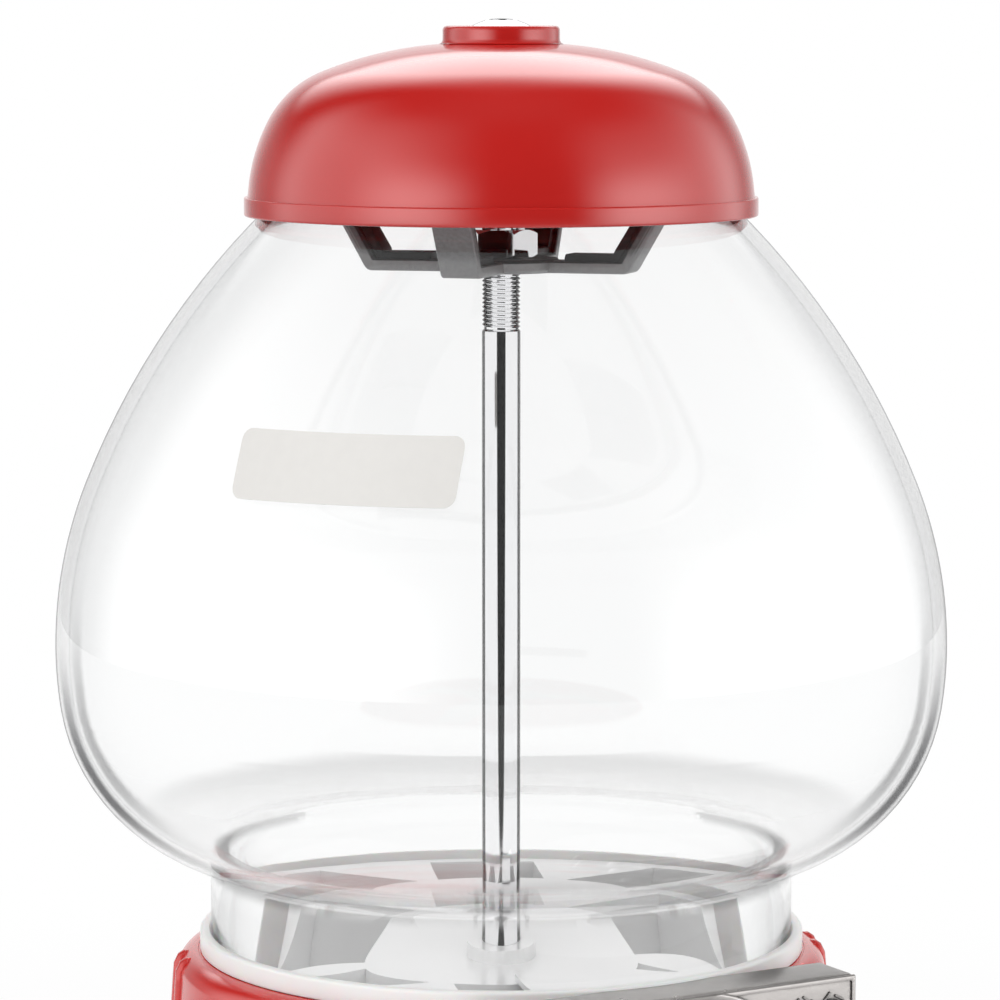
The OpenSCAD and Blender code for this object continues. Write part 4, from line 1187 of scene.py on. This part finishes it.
def scroll(centre, radius, turns, start, side):
    """A flat scroll in XZ that winds in to its centre, tapering, as a raised bar."""
    steps, around, width = 44, 8, 2.6
    rings = []
    for i in range(steps + 1):
        t = i / steps
        angle = start + side * turns * math.tau * t
        outwards = Vector((math.cos(angle), 0, math.sin(angle)))
        middle = Vector((centre[0], 0, centre[1])) + outwards * (radius * (1 - t) ** 0.9 + 0.5)
        swell = math.sin(math.pi * min(1, 0.16 + 0.84 * (1 - t))) ** 0.8
        half = width * (0.32 + 0.68 * swell) / 2
        angles = [math.tau * k / around for k in range(around)]
        rings.append([middle + outwards * half * math.cos(a)
                      + Vector((0, -0.8 * half * math.sin(a), 0)) for a in angles])
    return tube(rings)


class GUMBALL_OT_casting(bpy.types.Operator):
    """Cast the ornamented front: a border, a ground of raised sticks, and scrolls"""

    bl_idname = "gumball.casting"
    bl_label = "Front casting"

    def execute(self, context):
        near, far = box("front_casting")
        front, border, edge, wall = low("chute_door").y + 3, 0.8, 1.4, 2.5
        half, foot, top = far.x, near.z, far.z
        shaft = (low("coin_face").z + high("coin_face").z) / 2
        pin_y, pin_z = front + 1.3, high("chute_door").z - 2.4
        door_low, door_high, door_half = 31, pin_z + 3.2, 17.5
        back, lip, beyond = -74, Base.lip_top, top + 9
        outer = block(half, (front, -40), (foot, top), 1.6, 4)
        inner = block(half - wall, (front + wall, 0), (foot + wall, top - wall), 0.4, 2)
        fits = Base.outside(0.3)
        base = turned([(0, fits[0][1])] + fits + [(0, fits[-1][1])], None, 192, closed=False)
        collar = cylinder(high("globe_collar").x + 0.3, 0, beyond, 192)
        door = block(door_half, (front - 5, front + 5), (door_low, door_high), 0.6, 2)
        bore_r = 24.3
        bore = placed(cylinder(bore_r, 0, 12), facing(0, front + 8, shaft))
        behind = block(half + 1, (back, 0), (lip + 0.2, beyond))
        shell = cut(outer, [inner, base, collar, door, bore, behind])
        step = cut(block(half - 0.3, (back - 2, -55), (lip - 2.6, lip), 0.4, 2), [base])
        rear = cut(block(half - 0.3, (back - 2.4, back), (lip - 2, top - 0.5)), [base, collar])
        through = (front - 3, front + 3)
        rim = block(half - 0.2, (front - border / 2, front + 0.6), (foot + 0.2, top - 0.2), 0.5)
        rim = cut(rim, [block(half - edge, through, (foot + edge, top - edge), 0.5)])
        surround = block(door_half + 2.4, (front - border, front + 0.5),
                         (door_low - 2.2, pin_z + 6), 0.5)
        surround = cut(surround, [block(door_half, through, (door_low, door_high), 0.5)])
        ears = []
        for side in (-1, 1):
            middle, ear = side * (door_half + 1.75), 1.75
            ears.append(solid_block((middle - ear, pin_y - 2.3, pin_z - 3.4),
                                    (middle + ear, front + 1, pin_z + 3.4), 0.9))
        inside, outside, tall = 33.8, 36.4, 1.5
        ring = turned(rounded([(inside, 0), (outside, 0), (outside, tall), (inside, tall)],
                              [0, 0, 0.7, 0.5]), None, 128)
        ring = cut(placed(ring, facing(0, front + 0.6, shaft)),
                   [block(half, (front - 4, front + 4), (top - 0.5, beyond))])
        ornament = self.ornament(front, half, foot, top, pin_z)
        sticks = self.sticks(front, half, foot, top, edge, shaft, door_half, door_low, pin_z)
        material = finish(antique_silver)
        meshes = [shell, step, rear, rim, surround, ring, *ears, *ornament, sticks]
        piece("front_panel", meshes, "base", material, ["front_casting"],
              sharp=40)
        return {"FINISHED"}

    @staticmethod
    def ornament(front, half, foot, top, pin_z):
        """Scrolls in the upper corners and down both sides of the door."""
        made = []
        for centre, radius, turns, start, side in (
            ((half - 13, top - 14), 7.5, 1.2, 200, 1),
            ((half - 11.5, top - 31), 5.0, 1.1, 150, -1),
            ((half - 12, pin_z + 4), 6.0, 1.2, 120, 1),
            ((half - 13, pin_z - 14), 7.0, 1.2, 240, -1),
            ((half - 12.5, foot + 15), 7.0, 1.2, 100, 1),
        ):
            mesh = scroll(centre, radius, turns, math.radians(start), side)
            placed(mesh, shift(0, front, 0))
            made += [mesh, placed(mesh.copy(), Matrix.Scale(-1, 4, (1, 0, 0)))]
        return made

    @staticmethod
    def sticks(front, half, foot, top, edge, shaft, door_half, door_low, pin_z):
        """Raised sticks strewn over the ground between the border and the openings."""
        stick, spacing = sizes("front", "stick", "spacing")
        step, margin, clear_ring, clear_door = 2, edge + 1.5, 37.6, 5
        left, lowest = -half + margin, foot + margin
        columns, rows = int(2 * (half - margin) / step), int((top - foot - 2 * margin) / step)
        shape = bmesh.new()
        corners = {}
        for i in range(columns):
            for k in range(rows):
                x, z = left + (i + 0.5) * step, lowest + (k + 0.5) * step
                by_ring = math.hypot(x, z - shaft) < clear_ring
                by_door = abs(x) < door_half + clear_door and door_low - clear_door < z < pin_z + 8
                if by_ring or by_door:
                    continue
                quad = []
                for key in ((i, k), (i + 1, k), (i + 1, k + 1), (i, k + 1)):
                    if key not in corners:
                        place = Vector((left + key[0] * step, front, lowest + key[1] * step))
                        corners[key] = shape.verts.new(place * MM)
                    quad.append(corners[key])
                shape.faces.new(quad)
        bmesh.ops.recalc_face_normals(shape, faces=shape.faces)
        across, tall = 0.26, 0.42
        shown = solid_block((-stick / 2, -tall, -across), (stick / 2, 0.2, across), 0.12, 1)
        holder = bpy.data.objects.new("stick", shown)
        bpy.context.scene.collection.objects.link(holder)
        mesh = grown(from_bmesh(shape), group(strewn_group), Stick=holder, Spacing=spacing * MM,
                     Density=6e5, Seed=bpy.context.scene.gumball_front.seed,
                     Finish=finish(antique_silver))
        bpy.data.objects.remove(holder)
        return mesh


# --- Coin face, handle and door ------------------------------------------------------


class GUMBALL_OT_coin_face(bpy.types.Operator):
    """Cast the round coin face, with its beaded ring and the coin's window"""

    bl_idname = "gumball.coin_face"
    bl_label = "Coin face"

    def execute(self, context):
        near, far = box("coin_face")
        back, radius = far.y, far.x
        shaft = (near.z + far.z) / 2
        thick, full, copies = 3, 4, 84
        window, window_at, bore = 12.73, 17, 3.05
        outline = [(bore, 0), (radius, 0), (radius, full - 0.5), (radius - 0.2, full - 0.15),
                   (radius - 0.6, full), (radius - 1.4, full), (radius - 1.8, full - 0.2),
                   (radius - 2, thick), (bore, thick)]
        hole = placed(cylinder(window, -2, 9), shift(0, window_at, 0))
        disc = cut(turned(outline, None, 160), [hole])
        hoop = turned(rounded([(window, thick - 0.2), (window + 1.6, thick - 0.2),
                               (window + 1.3, thick + 0.7), (window + 0.2, thick + 0.7)],
                              [0, 0, 0.3, 0.3]), None, 96)
        hoop = placed(hoop, shift(0, window_at, 0))
        bead = bmesh.new()
        bmesh.ops.create_icosphere(bead, subdivisions=2, radius=0.75 * MM)
        bead = placed(from_bmesh(bead), shift(radius - 3.4, 0, thick))
        beads = ringed(bead, copies, 0, 360 / copies, None)
        flute = prism([(-0.55, -0.2), (0.55, -0.2), (0, 0.45)], 9)
        flutes = ringed(placed(flute, shift(0, 12.5, thick)), 48, 3.75, 7.5, None)
        flutes = self.clear_of_window(flutes, window_at * MM, (window + 2) * MM)
        meshes = [disc, hoop, beads, flutes]
        for mesh in meshes:
            placed(mesh, facing(0, back, shaft))
        material = finish(antique_silver)
        piece("coin_face_plate", meshes, "base", material, ["coin_face"])
        return {"FINISHED"}

    @staticmethod
    def clear_of_window(mesh, at, radius):
        """Takes away the flutes that would run into the coin's window."""
        shape = bmesh.new()
        shape.from_mesh(mesh)
        gone = {v for v in shape.verts if math.hypot(v.co.x, v.co.y - at) < radius}
        spread = list(gone)
        while spread:
            vertex = spread.pop()
            more = [edge.other_vert(vertex) for edge in vertex.link_edges]
            more = [other for other in more if other not in gone]
            gone.update(more)
            spread += more
        bmesh.ops.delete(shape, geom=list(gone), context="VERTS")
        return from_bmesh(shape)


class GUMBALL_OT_handle(bpy.types.Operator):
    """Shape the winged handle and its hub"""

    bl_idname = "gumball.handle"
    bl_label = "Handle"

    def execute(self, context):
        near, far = box("handle")
        shaft = (near.z + far.z) / 2
        front, back, reach = near.y, far.y, far.x
        hub, hub_len, mid, tip = 10, 6, 8, 4.5
        wing_back = back - hub_len + 0.8
        columns = 40
        places = [-reach * math.cos(math.pi * i / columns) for i in range(1, columns)]
        wings = tube([self.section(x, front, wing_back, shaft, mid, tip, reach - tip)
                      for x in places])
        bore, end = 3.02, hub_len + 3.4
        outline = [(bore, 0), (hub, 0), (hub, end - 1.9), (hub - 2.2, end), (bore, end)]
        drum = turned(rounded(outline, [0, 0.6, 0.9, 0.5, 0]), None, 96)
        drum = placed(drum, facing(0, back, shaft))
        outline = [(0, 0), (5, 0), (5, 0.3), (4.4, 0.9), (2.6, 1.25), (0, 1.4)]
        cap = turned(outline, None, 64, closed=False)
        cap = placed(cap, facing(0, front + 1.2, shaft))
        material = finish(chrome)
        piece("handle_wings", [wings, drum, cap], "handle", material, ["handle"],
              sharp=40)
        return {"FINISHED"}

    @staticmethod
    def section(x, front, back, shaft, mid, tip, span):
        """One cross-section of the wings: a rounded oblong as high as the tapering wing."""
        out, lean, around, power = abs(x), math.asin((mid - tip) / span), 36, 0.62
        if out < mid * math.sin(lean):
            half = math.sqrt(mid**2 - out**2)
        elif out < span + tip * math.sin(lean):
            half = mid * math.cos(lean) - (out - mid * math.sin(lean)) * math.tan(lean)
        else:
            half = math.sqrt(max(0.0, tip**2 - (out - span) ** 2))
        ease = min(1.0, half / tip) ** 0.35
        dip = 1.4 * (out / span) ** 2
        middle, depth = (front + back + dip) / 2, (back - front - dip) / 2 * ease
        angles = [math.tau * k / around for k in range(around)]
        return [(x, middle + depth * eased(math.sin(a), power),
                 shaft + half * eased(math.cos(a), power)) for a in angles]


class GUMBALL_OT_door(bpy.types.Operator):
    """Cast the chute's door, panelled and ribbed, on its knuckles"""

    bl_idname = "gumball.door"
    bl_label = "Chute door"

    def execute(self, context):
        near, far = box("chute_door")
        half, foot = far.x, near.z
        front = near.y + 3.2
        pin_y, pin_z = front + 1.1, far.z - 2.4
        sheet = 1.6
        slab = block(half, (front, front + sheet), (foot, pin_z - 2.9), 0.35, 2)
        rim = cut(block(half - 0.6, (front - 0.7, front + 0.4), (foot + 2.2, pin_z - 4), 0.35, 2),
                  [block(half - 3, (front - 3, front + 2), (foot + 4.6, pin_z - 6.4), 0.3, 2)])
        ribs = []
        count, apart, rib = 7, 3.7, 0.8
        for i in range(count):
            x = (i - (count - 1) / 2) * apart
            ribs.append(solid_block((x - rib, front - 0.55, foot + 6.4),
                                    (x + rib, front + 0.3, pin_z - 8.2), 0.5))
        knuckle_at, end, bore, outside = 8.75, 4.375, 1.4, 2.4
        lip = block(knuckle_at, (near.y, front + 0.6), (foot, foot + 1.8), 0.6)
        meshes = [slab, rim, lip, *ribs]
        for side in (-1, 1):
            middle = side * knuckle_at
            outline = [(bore, -end), (outside, -end), (outside, end), (bore, end)]
            knuckle = turned(rounded(outline, [0, 0.3, 0.3, 0]), None, 40)
            turn = shift(middle, pin_y, pin_z) @ Matrix.Rotation(math.radians(90), 4, "Y")
            meshes.append(placed(knuckle, turn))
            meshes.append(solid_block((middle - 4.3, front, pin_z - 3.4),
                                      (middle + 4.3, front + sheet, pin_z - 1.6)))
        material = finish(antique_silver)
        piece("door_flap", meshes, "door", material, ["chute_door"], sharp=40)
        return {"FINISHED"}


class GUMBALL_OT_screws(bpy.types.Operator):
    """Turn the slotted screws of the casting and of the coin face"""

    bl_idname = "gumball.screws"
    bl_label = "Front screws"

    def execute(self, context):
        material = finish("bright zinc")
        for node, head, tall, shank, name in (
            ("casting_screws", 3.8, 2.4, 2.0, "casting_screw_heads"),
            ("face_screws", 2.8, 1.6, 1.4, "face_screw_heads"),
        ):
            near, far = box(node)
            seat, end = near.y + tall, far.y
            outline = [(0, seat - end), (shank, seat - end), (shank, 0), (head, 0)]
            outline += [(head * across, tall * up) for across, up in
                        ((1, 0.3), (0.94, 0.58), (0.75, 0.82), (0.4, 0.97), (0, 1))]
            screw = turned(outline, None, 48, closed=False)
            screw = cut(screw, [block(head + 1, (-head / 6, head / 6), (tall * 0.5, tall + 1))])
            meshes = []
            for number, (x, z) in enumerate(self.spots(node, near, far, head)):
                turn = Matrix.Rotation(math.radians(37 * number + 12), 4, "Z")
                meshes.append(placed(screw.copy(), facing(x, seat, z) @ turn))
            piece(name, meshes, "base", material, [node])
        return {"FINISHED"}

    @staticmethod
    def spots(node, near, far, head):
        """Where the screws stand: at the box's corners, or round the coin face."""
        if node == "casting_screws":
            return [(x, z) for x in (near.x + head, far.x - head)
                    for z in (near.z + head, far.z - head)]
        shaft = (low("coin_face").z + high("coin_face").z) / 2
        circle = 28
        return [(circle * math.cos(math.radians(a)), shaft + circle * math.sin(math.radians(a)))
                for a in (-32, 180, 270)]


class GUMBALL_OT_mechanism(bpy.types.Operator):
    """Finish the coin mechanism and the chute behind the front"""

    bl_idname = "gumball.mechanism"
    bl_label = "Mechanism"

    def execute(self, context):
        for make, nodes in (
            (galvanised, ["mech_back", "chute"]),
            ("bright zinc", ["mech_posts", "chute_screws", "door_pin", "pawl_pin", "handle_shaft",
                             "shaft_spacer"]),
            ("turned brass", ["coin_carrier", "drive_pinion"]),
            ("spring steel", ["ratchet_wheel", "pawl", "pawl_spring", "shaft_clip"]),
        ):
            for node in nodes:
                paint(node, finish(make))
        return {"FINISHED"}


# --- Stage ---------------------------------------------------------------------------


def studio_world(heading):
    """A white studio: panels and bright tables at both sides, a window up behind, dark in front."""
    world = bpy.data.worlds.new("studio")
    world.use_nodes = True
    bpy.context.scene.world = world
    tree = Tree(world.node_tree)
    direction = tree.add("ShaderNodeTexCoord", output="Generated")
    x, y, z = tree.parts(direction)
    toward = Vector((math.sin(heading), -math.cos(heading)))
    right = Vector((math.cos(heading), math.sin(heading)))
    ahead = x * toward.x + y * toward.y
    aside = x * right.x + y * right.y
    angle = tree.add("ShaderNodeMath", {"operation": "ARCTAN2"}, {0: aside, 1: ahead})
    right_of = angle * math.degrees(1)
    left_of = 0 - right_of
    off = abs(right_of)

    def band(side, first, full, fading, last, low_z, high_z):
        """Light from a first heading to a last one, full between, that fades as it climbs."""
        lit = side.rises(first, full) * (1 - side.rises(fading, last))
        return lit * (1 - z.rises(low_z, high_z))

    left_panel = band(left_of, 0, 72, 106, 130, 0.45, 0.95) * 1.75
    right_panel = band(right_of, 28, 62, 122, 146, 0.20, 0.95) * 1.4
    left_table = band(left_of, 4, 36, 42, 78, 0.10, 0.55) * 3.1
    right_table = band(right_of, 32, 58, 66, 108, 0.02, 0.46) * 2.6
    window = off.rises(132, 170) * z.rises(0.33, 0.43) * (1 - z.rises(0.70, 1.02)) * 2.7
    backdrop = off.rises(140, 174) * (1 - z.rises(0.30, 0.36)) * 0.65
    haze = off.rises(96, 128) * (1 - z.rises(0.12, 0.50)) * 0.40
    mirrored_light = left_panel + right_panel + left_table + right_table + window + backdrop + haze
    camera, glossy, through = tree.rays()
    clear = camera + through - camera * through
    strength = clear + (1 - clear) * (glossy * mirrored_light + (1 - glossy) * 0.57)
    background = world.node_tree.nodes["Background"]
    background.inputs["Color"].default_value = (1, 1, 1, 1)
    tree.join(strength, background.inputs["Strength"])


def floor_material():
    """A pale floor that fades to plain white away from the machine."""
    f = Finish("pale floor", (0.9, 0.9, 0.9), 0.6)
    f.drive("Base Color", f.shade(f.noise(80, 3), 0.02))
    x, y, _ = f.parts(f.place)
    away = ((x * x + y * y) ** 0.5).rises(0.15, 0.80)
    camera, glossy, through = f.rays()
    white = f.add("ShaderNodeEmission", None, {"Color": (1, 1, 1, 1), "Strength": 1.0})
    share = (0.72 + away * 0.28) * f.top(f.top(camera, through), glossy * 0.8)
    return f.surface(f.blend(share, Value(f, f.shader.outputs[0]), white))


def lamp(name, heading, elevation, distance, size, power):
    """A soft square lamp that looks at the middle of the machine."""
    data = bpy.data.lights.new(name, "AREA")
    data.size = size
    data.energy = power
    made = bpy.data.objects.new(name, data)
    aim = Vector((0, 0, 0.2))
    level = math.cos(elevation)
    away = Vector((math.sin(heading) * level, -math.cos(heading) * level, math.sin(elevation)))
    made.location = aim + away * distance
    made.rotation_euler = away.to_track_quat("Z", "Y").to_euler()
    made.visible_glossy = False
    made.visible_transmission = False
    bpy.context.scene.collection.objects.link(made)


class GUMBALL_OT_stage(bpy.types.Operator):
    """Set up the camera, the lamps, the white studio and the floor"""

    bl_idname = "gumball.stage"
    bl_label = "Stage"

    def execute(self, context):
        scene = context.scene
        stage = scene.gumball_stage
        heading = stage.heading
        camera = bpy.data.objects.new("camera", bpy.data.cameras.new("camera"))
        camera.data.lens = 150.3
        camera.data.sensor_width = 36
        camera.data.clip_start = 0.05
        right = Vector((math.cos(heading), math.sin(heading), 0))
        place = Vector((math.sin(heading), -math.cos(heading), 0)) * stage.distance
        camera.location = place - right * 0.3 * MM + Vector((0, 0, stage.height))
        camera.rotation_euler = (math.radians(90) - stage.tilt, 0, heading)
        scene.collection.objects.link(camera)
        scene.camera = camera
        studio_world(heading)
        lamp("key", heading - math.radians(50), math.radians(40), 1.6, 1.0, 8)
        lamp("fill", heading + math.radians(55), math.radians(30), 1.6, 1.0, 5.7)
        lamp("top", heading, math.radians(80), 1.6, 1.2, 5.7)
        disc = bmesh.new()
        bmesh.ops.create_circle(disc, cap_ends=True, segments=96, radius=2.0)
        floor = bpy.data.objects.new("floor", from_bmesh(disc, floor_material()))
        scene.collection.objects.link(floor)
        scene.view_settings.view_transform = "Standard"
        return {"FINISHED"}


# --- Panel and run -------------------------------------------------------------------

GROUPS_OF_SIZES = {
    "gumball_globe": GUMBALL_PG_globe,
    "gumball_lid": GUMBALL_PG_lid,
    "gumball_clamp": GUMBALL_PG_clamp,
    "gumball_front": GUMBALL_PG_front,
    "gumball_colours": GUMBALL_PG_colours,
    "gumball_stage": GUMBALL_PG_stage,
}

OPERATORS = [
    GUMBALL_OT_stage, GUMBALL_OT_globe, GUMBALL_OT_label, GUMBALL_OT_lid, GUMBALL_OT_lock,
    GUMBALL_OT_rod, GUMBALL_OT_clamp, GUMBALL_OT_collar, GUMBALL_OT_hopper, GUMBALL_OT_base,
    GUMBALL_OT_underside, GUMBALL_OT_casting, GUMBALL_OT_coin_face, GUMBALL_OT_handle,
    GUMBALL_OT_door, GUMBALL_OT_screws, GUMBALL_OT_mechanism,
]


class GUMBALL_PT_panel(bpy.types.Panel):
    """Lists the pieces of the gumball machine"""

    bl_idname = "GUMBALL_PT_panel"
    bl_label = "Gumball machine"
    bl_space_type = "VIEW_3D"
    bl_region_type = "UI"
    bl_category = "Gumball"

    def draw(self, context):
        for name, kind in GROUPS_OF_SIZES.items():
            box = self.layout.box()
            for setting in kind.__annotations__:
                box.prop(getattr(context.scene, name), setting)
        for operator in OPERATORS:
            self.layout.operator(operator.bl_idname)


def register():
    for kind in [*GROUPS_OF_SIZES.values(), *OPERATORS, GUMBALL_PT_panel]:
        bpy.utils.register_class(kind)
    for name, kind in GROUPS_OF_SIZES.items():
        setattr(bpy.types.Scene, name, PointerProperty(type=kind))


def unregister():
    for name in GROUPS_OF_SIZES:
        delattr(bpy.types.Scene, name)
    for kind in [GUMBALL_PT_panel, *reversed(OPERATORS), *GROUPS_OF_SIZES.values()]:
        bpy.utils.unregister_class(kind)


def main():
    register()
    for operator in OPERATORS:
        getattr(bpy.ops.gumball, operator.bl_idname.split(".")[1])()


if __name__ == "__main__":
    main()
